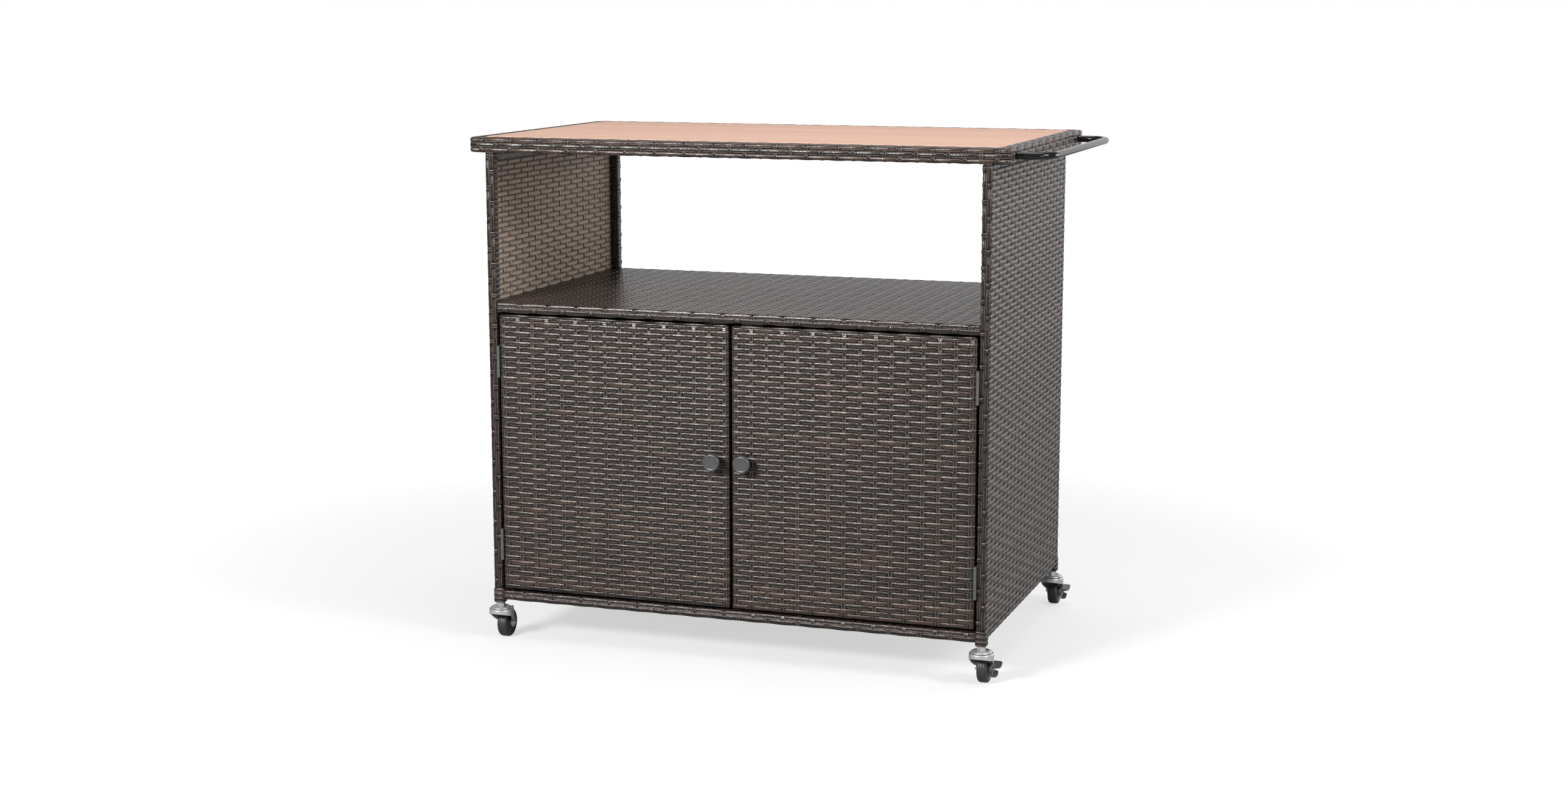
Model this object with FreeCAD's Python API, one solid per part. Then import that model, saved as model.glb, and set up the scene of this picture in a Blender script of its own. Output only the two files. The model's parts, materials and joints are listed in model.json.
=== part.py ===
import FreeCAD
import Part
import math
import os

# Wheeled serving cart: a woven cabinet on casters, with a wood top and a push handle.
# Millimetres. X runs to the right, Y to the back and Z up from the floor.
# Pieces are modelled about the middle of the cabinet and shifted when they are written.

# Overall sizes
TOTAL_HEIGHT = 900.0
BODY_WIDTH = 904.0
BODY_DEPTH = 563.0
TABLE_SIDE_OVERHANG = 29.5
TABLE_FRONT_OVERHANG = 0.5
SHELF_TOP = 611.2
RAIL_BOTTOM = 75.0
SIDE_BOTTOM = 79.0
CLEARANCE = 0.3

# Steel tube and the woven strand that covers it
TUBE = 15.0
TUBE_WALL = 1.2
STRAND = 1.3
WRAP_CORNER = 3.0
TABLE_TUBE_WIDTH = 20.0
TABLE_TUBE_HEIGHT = 25.0
TABLE_CORNER = 12.0

# Worktop board
BOARD_THICKNESS = 12.0
BOARD_RECESS = 0.6
BOARD_GAP = 0.5
BOARD_EDGE = 1.0
BEARER_X = 150.0

# Doors
DOOR_BOTTOM_GAP = 4.4
DOOR_TOP_GAP = 3.6
DOOR_SIDE_GAP = 3.0
DOOR_SEAM = 4.0
DOOR_SWING_CLEAR = 1.8

# Hinges
HINGE_BARREL = 5.6
HINGE_PIN = 3.0
HINGE_PIN_FIT = 0.1
HINGE_HEIGHT = 56.0
HINGE_LEAF = 1.2
HINGE_LEAF_DEPTH = 14.0
HINGE_LOW_Z = 178.0
HINGE_HIGH_Z = 507.0
HINGE_END_KNUCKLE = 16.2
KNUCKLE_GAP = 0.3

# Knobs
KNOB_X = 27.5
KNOB_Z = 356.0
KNOB_DIAMETER = 29.0
KNOB_DISC = 7.5
KNOB_REACH = 25.0
KNOB_STEM = 11.0
KNOB_WAIST = 8.8
KNOB_ROUND = 2.5
KNOB_SCREW = 4.0
KNOB_SCREW_LENGTH = 14.0
KNOB_HOLE_SPARE = 1.0
KNOB_SCREW_HEAD = 8.0
KNOB_SCREW_HEAD_HEIGHT = 2.6
KNOB_PLATE_WIDTH = 34.0
KNOB_PLATE_HEIGHT = 44.0
KNOB_PLATE = 2.0

# Magnetic catches
CATCH_X = 34.0
CATCH_WIDTH = 40.0
CATCH_DEPTH = 14.0
CATCH_DROP = 20.0
CATCH_TOP = 11.0
MAGNET_WIDTH = 26.0
MAGNET_HEIGHT = 9.0
MAGNET_DEPTH = 5.0
MAGNET_LIFT = 3.0
STRIKE_THICKNESS = 1.2
STRIKE_WIDTH = 36.0
STRIKE_HEIGHT = 13.0
STRIKE_INSET = 1.0

# Push handle
HANDLE_BAR = 12.0
HANDLE_HALF_SPAN = 240.0
HANDLE_REACH = 57.0
HANDLE_BEND = 38.0
HANDLE_DROP = 15.2

# Casters
WHEEL_DIAMETER = 50.8
WHEEL_WIDTH = 18.0
WHEEL_SHOULDER = 3.4
HUB_DIAMETER = 15.0
TRAIL = 24.0
CASTER_HEIGHT = 70.0
CUP_DIAMETER = 42.0
CAP_DIAMETER = 38.5
FORK_TOP = 57.5
FORK_SHEET = 1.8
FORK_HALF_WIDTH = 13.0
FORK_FRONT_Z = 51.0
FORK_WAIST_Z = 44.0
LEG_END_RADIUS = 8.0
LEG_STRAIGHT = 3.6
LEG_BACK_Y = 24.0
KINGPIN = 8.0
KINGPIN_HEAD = 15.0
KINGPIN_HEAD_HEIGHT = 2.5
CAP_FLAT = 23.0
PLUG_LENGTH = 22.0
STEM_NUT = 14.0
STEM_NUT_HEIGHT = 9.0
AXLE = 5.0
AXLE_BORE = 5.5
AXLE_HEAD = 8.0
AXLE_HEAD_HEIGHT = 3.0
SLIDE_FIT = 0.15

# Toggle brake on the outer side of a caster
BRAKE_SHEET = 1.6
BRAKE_LIFT = 11.6
BRAKE_DROP = 14.4
BRAKE_UPPER_REACH = 15.0
BRAKE_LOWER_REACH = 8.5
BRAKE_PEDAL_WIDTH = 13.0
BRAKE_WEB = 6.5
BRAKE_WEB_DROP = 2.0
BRAKE_CORNER = 4.0

# Sizes that follow
table_half_width = BODY_WIDTH / 2 + TABLE_SIDE_OVERHANG
table_half_depth = BODY_DEPTH / 2 + TABLE_FRONT_OVERHANG
table_thickness = TABLE_TUBE_HEIGHT + 2 * STRAND
table_band = TABLE_TUBE_WIDTH + 2 * STRAND
table_bottom = TOTAL_HEIGHT - table_thickness
post_wrap = TUBE + 2 * STRAND
half_width = BODY_WIDTH / 2
half_depth = BODY_DEPTH / 2
post_x = half_width - post_wrap / 2
post_y = half_depth - post_wrap / 2
bay_half_width = half_width - post_wrap
tube_front = -half_depth + STRAND
tube_back = tube_front + TUBE
panel_thickness = TUBE + 2 * STRAND
shelf_bottom = SHELF_TOP - panel_thickness
floor_top = RAIL_BOTTOM + panel_thickness
board_top = TOTAL_HEIGHT - BOARD_RECESS
board_bottom = board_top - BOARD_THICKNESS
top_tube_z = table_bottom - TUBE / 2
side_half_depth = half_depth - post_wrap
steel_half_width = post_x - TUBE / 2
door_bottom = floor_top + DOOR_BOTTOM_GAP
door_top = shelf_bottom - DOOR_TOP_GAP
door_outer = bay_half_width - DOOR_SIDE_GAP
door_inner = DOOR_SEAM / 2
hinge_x = bay_half_width - DOOR_SIDE_GAP / 2
hinge_y = -half_depth - DOOR_SWING_CLEAR
knob_front = -half_depth - KNOB_REACH
axle_z = WHEEL_DIAMETER / 2
hub_face = FORK_HALF_WIDTH - FORK_SHEET - CLEARANCE
brake_face = FORK_HALF_WIDTH + CLEARANCE
leg_back = TRAIL + LEG_END_RADIUS
nut_bottom = CASTER_HEIGHT - STEM_NUT_HEIGHT
handle_x = table_half_width + HANDLE_REACH
handle_z = TOTAL_HEIGHT - HANDLE_DROP
handle_outer = handle_x + HANDLE_BAR / 2
wheel_back = post_y + TRAIL + WHEEL_DIAMETER / 2
origin_x = (handle_outer - table_half_width) / 2
origin_y = (wheel_back + knob_front) / 2

SIDES = {"left": -1, "right": 1}
ENDS = {"front": -1, "back": 1}


def vec(x, y, z):
    return FreeCAD.Vector(x, y, z)


def box(x0, x1, y0, y1, z0, z1):
    return Part.makeBox(x1 - x0, y1 - y0, z1 - z0, vec(x0, y0, z0))


def rod(radius, start, end):
    run = end.sub(start)
    return Part.makeCylinder(radius, run.Length, start, run)


def axis_point(axis, along, u, v):
    if axis == "x":
        return vec(along, u, v)
    if axis == "y":
        return vec(u, along, v)
    return vec(u, v, along)


def rounded_outline(axis, along, centre, width, height, corner):
    # closed wire of a rectangle with round corners, square to the axis
    half_u = width / 2
    half_v = height / 2
    cut = corner * (1 - math.sqrt(0.5))
    edges = []
    turns = ((1, 1), (-1, 1), (-1, -1), (1, -1))
    ends = []
    for number, (su, sv) in enumerate(turns):
        on_v = (su * (half_u - corner), sv * half_v)
        on_u = (su * half_u, sv * (half_v - corner))
        middle = (su * (half_u - cut), sv * (half_v - cut))
        first, last = (on_u, on_v) if number % 2 == 0 else (on_v, on_u)
        ends.append((first, middle, last))
    for number, (first, middle, last) in enumerate(ends):
        following = ends[(number + 1) % 4][0]
        places = []
        for u, v in (first, middle, last, following):
            places.append(axis_point(axis, along, centre[0] + u, centre[1] + v))
        edges.append(Part.Arc(places[0], places[1], places[2]).toShape())
        edges.append(Part.LineSegment(places[2], places[3]).toShape())
    return Part.Wire(edges)


def bar(axis, start, end, centre, width, height, corner):
    # solid bar with round edges from start to end along the axis
    face = Part.Face(rounded_outline(axis, start, centre, width, height, corner))
    return face.extrude(axis_point(axis, end - start, 0, 0))


def box_bar(axis, start, end, centre, width, height):
    low = axis_point(axis, start, centre[0] - width / 2, centre[1] - height / 2)
    high = axis_point(axis, end, centre[0] + width / 2, centre[1] + height / 2)
    return box(low.x, high.x, low.y, high.y, low.z, high.z)


def tube(axis, start, end, centre, width=TUBE, height=TUBE):
    # steel tube
    outer = box_bar(axis, start, end, centre, width, height)
    bore_width = width - 2 * TUBE_WALL
    bore_height = height - 2 * TUBE_WALL
    return outer.cut(box_bar(axis, start, end, centre, bore_width, bore_height))


def sleeve(axis, start, end, centre):
    # woven cover round a steel tube
    outer = bar(axis, start, end, centre, TUBE + 2 * STRAND, TUBE + 2 * STRAND, STRAND)
    return outer.cut(box_bar(axis, start, end, centre, TUBE, TUBE))


def prism(axis, points, start, end):
    # polygon of (u, v) points pushed along the axis
    places = [axis_point(axis, start, u, v) for u, v in points]
    places.append(places[0])
    face = Part.Face(Part.makePolygon(places))
    return face.extrude(axis_point(axis, end - start, 0, 0))


def hexagon(across, axis, start, end, centre):
    radius = across / math.sqrt(3)
    points = []
    for number in range(6):
        turn = math.radians(60 * number)
        points.append((centre[0] + radius * math.cos(turn), centre[1] + radius * math.sin(turn)))
    return prism(axis, points, start, end)


def turned(points, axis_place, axis_way):
    # revolve a profile of vectors round an axis
    outline = list(points)
    outline.append(outline[0])
    return Part.Face(Part.makePolygon(outline)).revolve(axis_place, axis_way, 360)


def moved(shape, x, y, z):
    copy = shape.copy()
    copy.translate(vec(x, y, z))
    return copy


def mirrored(shape):
    return shape.mirror(vec(0, 0, 0), vec(1, 0, 0))


def group(solids):
    return Part.makeCompound(solids)


def hand(shape, side):
    # pieces are drawn for the right side, and the left one is their mirror image
    return shape if side > 0 else mirrored(shape)


def side_levels():
    # middle heights of the cross tubes between the posts of one side
    return (SIDE_BOTTOM + STRAND + TUBE / 2, SHELF_TOP - panel_thickness / 2, top_tube_z)


def side_frame():
    # two posts up to the table's frame, joined by three cross tubes
    solids = []
    for end in (-1, 1):
        solids.append(tube("z", CASTER_HEIGHT, table_bottom + STRAND, (post_x, end * post_y)))
    reach = post_y - TUBE / 2
    for level in side_levels():
        solids.append(tube("y", -reach, reach, (post_x, level)))
    return solids


def post_wraps():
    # woven covers of the four posts, open where the cross tubes and rails meet the steel
    cover = sleeve("z", CASTER_HEIGHT, table_bottom, (post_x, post_y))
    passing = []
    for level in side_levels():
        passing.append(box_bar("y", side_half_depth, post_y - TUBE / 2, (post_x, level), TUBE, TUBE))
    for bottom in (RAIL_BOTTOM, shelf_bottom):
        level = bottom + panel_thickness / 2
        passing.append(box_bar("x", bay_half_width, steel_half_width, (post_y, level), TUBE, TUBE))
    cover = cover.cut(passing)
    solids = []
    for side in (-1, 1):
        for end in (-1, 1):
            solids.append(hand(cover if end > 0 else cover.mirror(vec(0, 0, 0), vec(0, 1, 0)), side))
    return solids


def side_weave():
    # woven skin on the outer face of a side frame, wrapped under the low tube
    skin = box(half_width - STRAND, half_width, -side_half_depth, side_half_depth,
               SIDE_BOTTOM, table_bottom)
    low = box(half_width - post_wrap + STRAND, half_width, -side_half_depth, side_half_depth,
              SIDE_BOTTOM, SIDE_BOTTOM + STRAND)
    return skin.fuse(low).removeSplitter()


def panel_frame(bottom, bearer_places):
    # flat welded frame between the posts
    level = bottom + panel_thickness / 2
    rail_y = half_depth - STRAND - TUBE / 2
    inner = rail_y - TUBE / 2
    edge_x = bay_half_width - TUBE / 2
    solids = []
    for end in (-1, 1):
        solids.append(tube("x", -steel_half_width, steel_half_width, (end * rail_y, level)))
    for x in [-edge_x, *bearer_places, edge_x]:
        solids.append(tube("y", -inner, inner, (x, level)))
    return solids


def panel_weave(bottom):
    # woven top of a panel with its rounded front and back edges
    top = bottom + panel_thickness
    solids = []
    sheet = bar("x", -bay_half_width, bay_half_width, (0, bottom + panel_thickness / 2),
                BODY_DEPTH, panel_thickness, WRAP_CORNER)
    hollow = box_bar("x", -bay_half_width, bay_half_width, (0, bottom + panel_thickness / 2),
                     BODY_DEPTH - 2 * STRAND, TUBE)
    shell = sheet.cut(hollow)
    far = 2 * BODY_DEPTH
    solids.append(shell.common(box(-far, far, -far, far, top - WRAP_CORNER, top)))
    rim = half_depth - post_wrap
    for low_y, high_y in ((-half_depth, -rim), (rim, half_depth)):
        lip = box(-far, far, low_y, high_y, bottom, top - WRAP_CORNER)
        solids.append(shell.common(lip))
    return solids


def back_frame():
    # upright frame between the floor and shelf panels
    level = half_depth - STRAND - TUBE / 2
    solids = []
    for z in (floor_top + TUBE / 2, shelf_bottom - TUBE / 2):
        solids.append(tube("x", -bay_half_width, bay_half_width, (level, z)))
    low = floor_top + TUBE
    high = shelf_bottom - TUBE
    for x in (-(bay_half_width - TUBE / 2), 0.0, bay_half_width - TUBE / 2):
        solids.append(tube("z", low, high, (x, level)))
    return solids


def back_weave():
    return box(-bay_half_width, bay_half_width, half_depth - STRAND, half_depth,
               floor_top, shelf_bottom)


def mitre_wedge(side, front_facing, half_w, half_d, band):
    # plan area of one side of a mitred frame
    if front_facing:
        points = [(-half_w, side * half_d), (half_w, side * half_d),
                  (half_w - band, side * (half_d - band)), (-half_w + band, side * (half_d - band))]
    else:
        points = [(side * half_w, -half_d), (side * half_w, half_d),
                  (side * (half_w - band), half_d - band), (side * (half_w - band), -half_d + band)]
    return prism("z", points, 0, 2 * TOTAL_HEIGHT)


def mitred_frame(make, inset, band, corner):
    # four sides cut to the mitre, with the outer corners rounded in plan
    half_w = table_half_width - inset
    half_d = table_half_depth - inset
    plan = bar("z", 0, 2 * TOTAL_HEIGHT, (0, 0), 2 * half_w, 2 * half_d, corner)
    level = (table_bottom + TOTAL_HEIGHT) / 2
    solids = []
    for side in (-1, 1):
        long_side = make("x", -half_w, half_w, (side * (half_d - band / 2), level))
        short_side = make("y", -half_d, half_d, (side * (half_w - band / 2), level))
        solids.append(long_side.common(mitre_wedge(side, True, half_w, half_d, band)).common(plan))
        solids.append(short_side.common(mitre_wedge(side, False, half_w, half_d, band)).common(plan))
    return solids


def tabletop_frame():
    # mitred outer tubes, and the bearers that carry the board
    def make(axis, start, end, centre):
        return tube(axis, start, end, centre, TABLE_TUBE_WIDTH, TABLE_TUBE_HEIGHT)
    solids = mitred_frame(make, STRAND, TABLE_TUBE_WIDTH, TABLE_CORNER - STRAND)
    reach = table_half_depth - STRAND - TABLE_TUBE_WIDTH
    height = board_bottom - table_bottom
    for x in (-post_x, -BEARER_X, BEARER_X, post_x):
        solids.append(tube("y", -reach, reach, (x, table_bottom + height / 2), TUBE, height))
    return solids


def tabletop_border():
    # woven cover of the table's edge, open where the posts, bearers and handle pass
    def make(axis, start, end, centre):
        cover = box_bar(axis, start, end, centre, table_band, table_thickness)
        return cover.cut(box_bar(axis, start, end, centre, TABLE_TUBE_WIDTH, TABLE_TUBE_HEIGHT))
    solids = mitred_frame(make, 0.0, table_band, TABLE_CORNER)
    reach = table_half_depth - STRAND - TABLE_TUBE_WIDTH
    passing = []
    for x in (-post_x, -BEARER_X, BEARER_X, post_x):
        passing.append(box(x - TUBE / 2, x + TUBE / 2, -reach, reach, table_bottom, board_bottom))
    for side in (-1, 1):
        for end in (-1, 1):
            passing.append(box_bar("z", table_bottom, table_bottom + STRAND,
                                   (side * post_x, end * post_y), TUBE, TUBE))
    for end in (-1, 1):
        seat = vec(table_half_width - STRAND, end * HANDLE_HALF_SPAN, handle_z)
        passing.append(rod(HANDLE_BAR / 2 + SLIDE_FIT, seat, seat.add(vec(2 * STRAND, 0, 0))))
    return [solid.cut(passing) for solid in solids]


def worktop_board():
    half_w = table_half_width - table_band - BOARD_GAP
    half_d = table_half_depth - table_band - BOARD_GAP
    board = box(-half_w, half_w, -half_d, half_d, board_bottom, board_top)
    upper = [edge for edge in board.Edges if edge.BoundBox.ZMin > board_top - BOARD_EDGE / 2]
    return board.makeChamfer(BOARD_EDGE, upper)


def push_handle():
    # round bar, bent twice, with its ends welded to the table's frame
    radius = HANDLE_BEND
    span = HANDLE_HALF_SPAN
    bar_radius = HANDLE_BAR / 2
    corner_x = handle_x - radius
    handle = rod(bar_radius, vec(handle_x, -span + radius, handle_z),
                 vec(handle_x, span - radius, handle_z))
    for end in (-1, 1):
        corner = vec(corner_x, end * span, handle_z)
        section = Part.Face(Part.Wire(Part.makeCircle(bar_radius, corner, vec(1, 0, 0))))
        bend = section.revolve(vec(corner_x, end * (span - radius), handle_z), vec(0, 0, -end), 90)
        leg = rod(bar_radius, vec(table_half_width - STRAND, end * span, handle_z), corner)
        handle = handle.fuse(bend).fuse(leg)
    return handle.removeSplitter()


def door_tubes():
    # right door: outer and inner stiles, top and bottom rails, and the plate behind the knob
    left = door_inner + STRAND
    right = door_outer - STRAND
    low = door_bottom + STRAND
    high = door_top - STRAND
    level = tube_front + TUBE / 2
    solids = []
    for x in (left + TUBE / 2, right - TUBE / 2):
        solids.append(tube("z", low, high, (x, level)))
    for z in (low + TUBE / 2, high - TUBE / 2):
        solids.append(tube("x", left + TUBE, right - TUBE, (level, z)))
    plate_low = KNOB_Z - KNOB_PLATE_HEIGHT / 2
    plate = box(left + TUBE, left + TUBE + KNOB_PLATE_WIDTH, tube_front, tube_front + KNOB_PLATE,
                plate_low, plate_low + KNOB_PLATE_HEIGHT)
    solids.append(plate.cut(knob_screw_hole()))
    return solids


def knob_screw_hole():
    return rod(KNOB_SCREW / 2 + SLIDE_FIT, vec(KNOB_X, -half_depth - 1, KNOB_Z),
               vec(KNOB_X, tube_back, KNOB_Z))


def door_weave():
    # woven face with rounded edges, and the strands that return over the frame
    depth = TUBE + STRAND
    front = -half_depth
    block = box(door_inner, door_outer, front, front + depth, door_bottom, door_top)
    edges = [edge for edge in block.Edges if edge.BoundBox.YMax < front + STRAND / 2]
    block = block.makeFillet(WRAP_CORNER, edges)
    shell = block.cut(box(door_inner + STRAND, door_outer - STRAND, front + STRAND, front + depth,
                          door_bottom + STRAND, door_top - STRAND))
    shell = shell.cut(knob_screw_hole())
    split = front + WRAP_CORNER
    far = 2 * TOTAL_HEIGHT
    solids = [shell.common(box(-far, far, -far, split, -far, far))]
    back = shell.common(box(-far, far, split, far, -far, far))
    low = door_bottom + WRAP_CORNER
    high = door_top - WRAP_CORNER
    middle = (door_inner + door_outer) / 2
    for x0, x1, z0, z1 in ((-far, far, -far, low), (-far, far, high, far),
                           (-far, middle, low, high), (middle, far, low, high)):
        solids.append(back.common(box(x0, x1, -far, far, z0, z1)))
    return solids


def door_knob():
    # disc with a soft rim on a waisted stem
    face = knob_front
    seat = -half_depth
    radius = KNOB_DIAMETER / 2
    disc_back = face + KNOB_DISC
    waist = KNOB_WAIST / 2
    points = [(0, face), (radius - KNOB_ROUND, face), (radius, face + KNOB_ROUND),
              (radius, disc_back - KNOB_ROUND / 2), (waist, disc_back + KNOB_ROUND),
              (KNOB_STEM / 2, seat), (0, seat)]
    profile = [vec(KNOB_X + r, y, KNOB_Z) for r, y in points]
    knob = turned(profile, vec(KNOB_X, 0, KNOB_Z), vec(0, 1, 0))
    depth = KNOB_SCREW_LENGTH - KNOB_PLATE - STRAND + KNOB_HOLE_SPARE
    return knob.cut(rod(KNOB_SCREW / 2, vec(KNOB_X, seat, KNOB_Z), vec(KNOB_X, seat - depth, KNOB_Z)))


def knob_screw():
    back = tube_front + KNOB_PLATE
    tip = back - KNOB_SCREW_LENGTH
    shank = rod(KNOB_SCREW / 2 - SLIDE_FIT, vec(KNOB_X, tip, KNOB_Z), vec(KNOB_X, back, KNOB_Z))
    head = rod(KNOB_SCREW_HEAD / 2, vec(KNOB_X, back, KNOB_Z),
               vec(KNOB_X, back + KNOB_SCREW_HEAD_HEIGHT, KNOB_Z))
    return shank.fuse(head).removeSplitter()


def strike_plate():
    top = door_top - STRAND - STRIKE_INSET
    return box(CATCH_X - STRIKE_WIDTH / 2, CATCH_X + STRIKE_WIDTH / 2, tube_back,
               tube_back + STRIKE_THICKNESS, top - STRIKE_HEIGHT, top)


def magnetic_catch():
    # housing behind the shelf's front rail, with a pocket for the magnet
    rail_low = shelf_bottom + STRAND
    face = tube_back + STRIKE_THICKNESS + CLEARANCE
    low = rail_low - CATCH_DROP
    x0 = CATCH_X - CATCH_WIDTH / 2
    x1 = CATCH_X + CATCH_WIDTH / 2
    upper = box(x0, x1, tube_back, face + CATCH_DEPTH, rail_low, rail_low + CATCH_TOP)
    lower = box(x0, x1, face, face + CATCH_DEPTH, low, rail_low)
    body = upper.fuse(lower).removeSplitter()
    return body.cut(magnet_block(face, low))


def magnet_block(face, low):
    bottom = low + MAGNET_LIFT
    return box(CATCH_X - MAGNET_WIDTH / 2, CATCH_X + MAGNET_WIDTH / 2, face, face + MAGNET_DEPTH,
               bottom, bottom + MAGNET_HEIGHT)


def catch_magnet():
    return magnet_block(tube_back + STRIKE_THICKNESS + CLEARANCE, shelf_bottom + STRAND - CATCH_DROP)


def hinge_spans(middle):
    # the three knuckles of one hinge, lowest first
    low = middle - HINGE_HEIGHT / 2
    high = middle + HINGE_HEIGHT / 2
    end = HINGE_END_KNUCKLE
    return ((low, low + end), (low + end + KNUCKLE_GAP, high - end - KNUCKLE_GAP), (high - end, high))


def hinge_rod(radius, low, high):
    return rod(radius, vec(hinge_x, hinge_y, low), vec(hinge_x, hinge_y, high))


def hinge_leaf(leaf_x, spans, knuckles):
    # flat leaf in the gap beside the door, with its knuckles at the front
    low = spans[0][0]
    high = spans[2][1]
    back = hinge_y + HINGE_LEAF_DEPTH
    whole = box(leaf_x, leaf_x + HINGE_LEAF, hinge_y + HINGE_BARREL / 2 + CLEARANCE, back, low, high)
    for start, end in knuckles:
        neck = box(leaf_x, leaf_x + HINGE_LEAF, hinge_y, hinge_y + HINGE_BARREL, start, end)
        whole = whole.fuse(neck).fuse(hinge_rod(HINGE_BARREL / 2, start, end))
    return whole


def hinge_frame_leaf(middle):
    # leaf on the post, whose two end knuckles hold the pin fast
    spans = hinge_spans(middle)
    leaf = hinge_leaf(bay_half_width - HINGE_LEAF, spans, (spans[0], spans[2]))
    pin = hinge_rod(HINGE_PIN / 2, spans[0][0], spans[2][1])
    return leaf.fuse(pin).removeSplitter()


def hinge_door_leaf(middle):
    # leaf on the door, whose middle knuckle turns on the pin
    spans = hinge_spans(middle)
    leaf = hinge_leaf(door_outer, spans, (spans[1],))
    bore = hinge_rod(HINGE_PIN / 2 + HINGE_PIN_FIT, spans[0][0], spans[2][1])
    return leaf.cut(bore).removeSplitter()


def caster_stem():
    # plug pressed into the post's foot, with the nut and domed cap under it, and the king pin
    cap_low = FORK_TOP + CLEARANCE
    pin_face = FORK_TOP - FORK_SHEET - CLEARANCE
    radius = CAP_DIAMETER / 2
    points = [(0, nut_bottom), (CAP_FLAT / 2, nut_bottom), (radius, cap_low),
              (KINGPIN / 2, cap_low), (KINGPIN / 2, pin_face), (KINGPIN_HEAD / 2, pin_face),
              (0, pin_face - KINGPIN_HEAD_HEIGHT)]
    profile = [vec(r, 0, z) for r, z in points]
    dome = turned(profile, vec(0, 0, 0), vec(0, 0, 1))
    nut = hexagon(STEM_NUT, "z", nut_bottom, CASTER_HEIGHT, (0, 0))
    size = TUBE - 2 * TUBE_WALL
    plug = box_bar("z", CASTER_HEIGHT, CASTER_HEIGHT + PLUG_LENGTH, (0, 0), size, size)
    return dome.fuse(nut).fuse(plug)


def plan_outline(offset):
    # plan of the stamped fork: round in front, with parallel legs to the back
    radius = CUP_DIAMETER / 2 - offset
    leg = FORK_HALF_WIDTH - offset
    meet = math.sqrt(radius ** 2 - leg ** 2)
    back = leg_back + FORK_SHEET
    edges = []
    edges.append(Part.Arc(vec(leg, meet, 0), vec(0, -radius, 0), vec(-leg, meet, 0)).toShape())
    edges.append(Part.LineSegment(vec(-leg, meet, 0), vec(-leg, back, 0)).toShape())
    edges.append(Part.LineSegment(vec(-leg, back, 0), vec(leg, back, 0)).toShape())
    edges.append(Part.LineSegment(vec(leg, back, 0), vec(leg, meet, 0)).toShape())
    return Part.Face(Part.Wire(edges))


def fork_side():
    # side view of the fork: slanting front, and legs that end round at the axle
    front = -CUP_DIAMETER / 2 - 1
    end_y = TRAIL
    radius = LEG_END_RADIUS
    top_front = vec(0, front, FORK_TOP)
    low_front = vec(0, front, FORK_FRONT_Z)
    waist = vec(0, 0, FORK_WAIST_Z)
    leg_front = vec(0, end_y - radius, axle_z + LEG_STRAIGHT)
    leg_left = vec(0, end_y - radius, axle_z)
    leg_bottom = vec(0, end_y, axle_z - radius)
    leg_right = vec(0, end_y + radius, axle_z)
    top_back = vec(0, LEG_BACK_Y, FORK_TOP)
    edges = []
    for start, end in ((top_front, low_front), (low_front, waist), (waist, leg_front),
                       (leg_front, leg_left)):
        edges.append(Part.LineSegment(start, end).toShape())
    edges.append(Part.Arc(leg_left, leg_bottom, leg_right).toShape())
    edges.append(Part.LineSegment(leg_right, top_back).toShape())
    edges.append(Part.LineSegment(top_back, top_front).toShape())
    face = Part.Face(Part.Wire(edges))
    slab = face.extrude(vec(2 * CUP_DIAMETER, 0, 0))
    return moved(slab, -CUP_DIAMETER, 0, 0)


def caster_fork():
    # stamped fork: flat top with a turned rim, and two legs joined by the front skirt
    outer = plan_outline(0.0).extrude(vec(0, 0, FORK_TOP))
    inner = plan_outline(FORK_SHEET).extrude(vec(0, 0, FORK_TOP - FORK_SHEET))
    shell = outer.cut(inner).common(fork_side())
    hole = rod(KINGPIN / 2 + CLEARANCE, vec(0, 0, 0), vec(0, 0, CASTER_HEIGHT))
    axle_hole = rod(AXLE / 2 + SLIDE_FIT, vec(-CUP_DIAMETER, TRAIL, axle_z),
                    vec(CUP_DIAMETER, TRAIL, axle_z))
    return shell.cut(hole).cut(axle_hole)


def caster_axle(braked):
    # axle bolt through both legs, with its head on the brake's side
    outer = FORK_HALF_WIDTH
    head_face = brake_face + BRAKE_SHEET + CLEARANCE if braked else outer
    shank = rod(AXLE / 2, vec(-outer, TRAIL, axle_z), vec(head_face, TRAIL, axle_z))
    head = hexagon(AXLE_HEAD, "x", head_face, head_face + AXLE_HEAD_HEIGHT, (TRAIL, axle_z))
    nut = hexagon(AXLE_HEAD, "x", -outer - AXLE_HEAD_HEIGHT, -outer, (TRAIL, axle_z))
    return shank.fuse(head).fuse(nut)


def caster_wheel():
    # one-piece rubber wheel: tread with soft shoulders, and sides that rise to the hub
    radius = WHEEL_DIAMETER / 2
    half = WHEEL_WIDTH / 2
    rim = radius - WHEEL_SHOULDER
    side = [(AXLE_BORE / 2, hub_face), (HUB_DIAMETER / 2, hub_face),
            (rim, half), (radius, half - WHEEL_SHOULDER)]
    points = list(side)
    for r, x in reversed(side):
        points.append((r, -x))
    profile = [vec(x, TRAIL, axle_z + r) for r, x in points]
    return turned(profile, vec(0, TRAIL, axle_z), vec(1, 0, 0))


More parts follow.
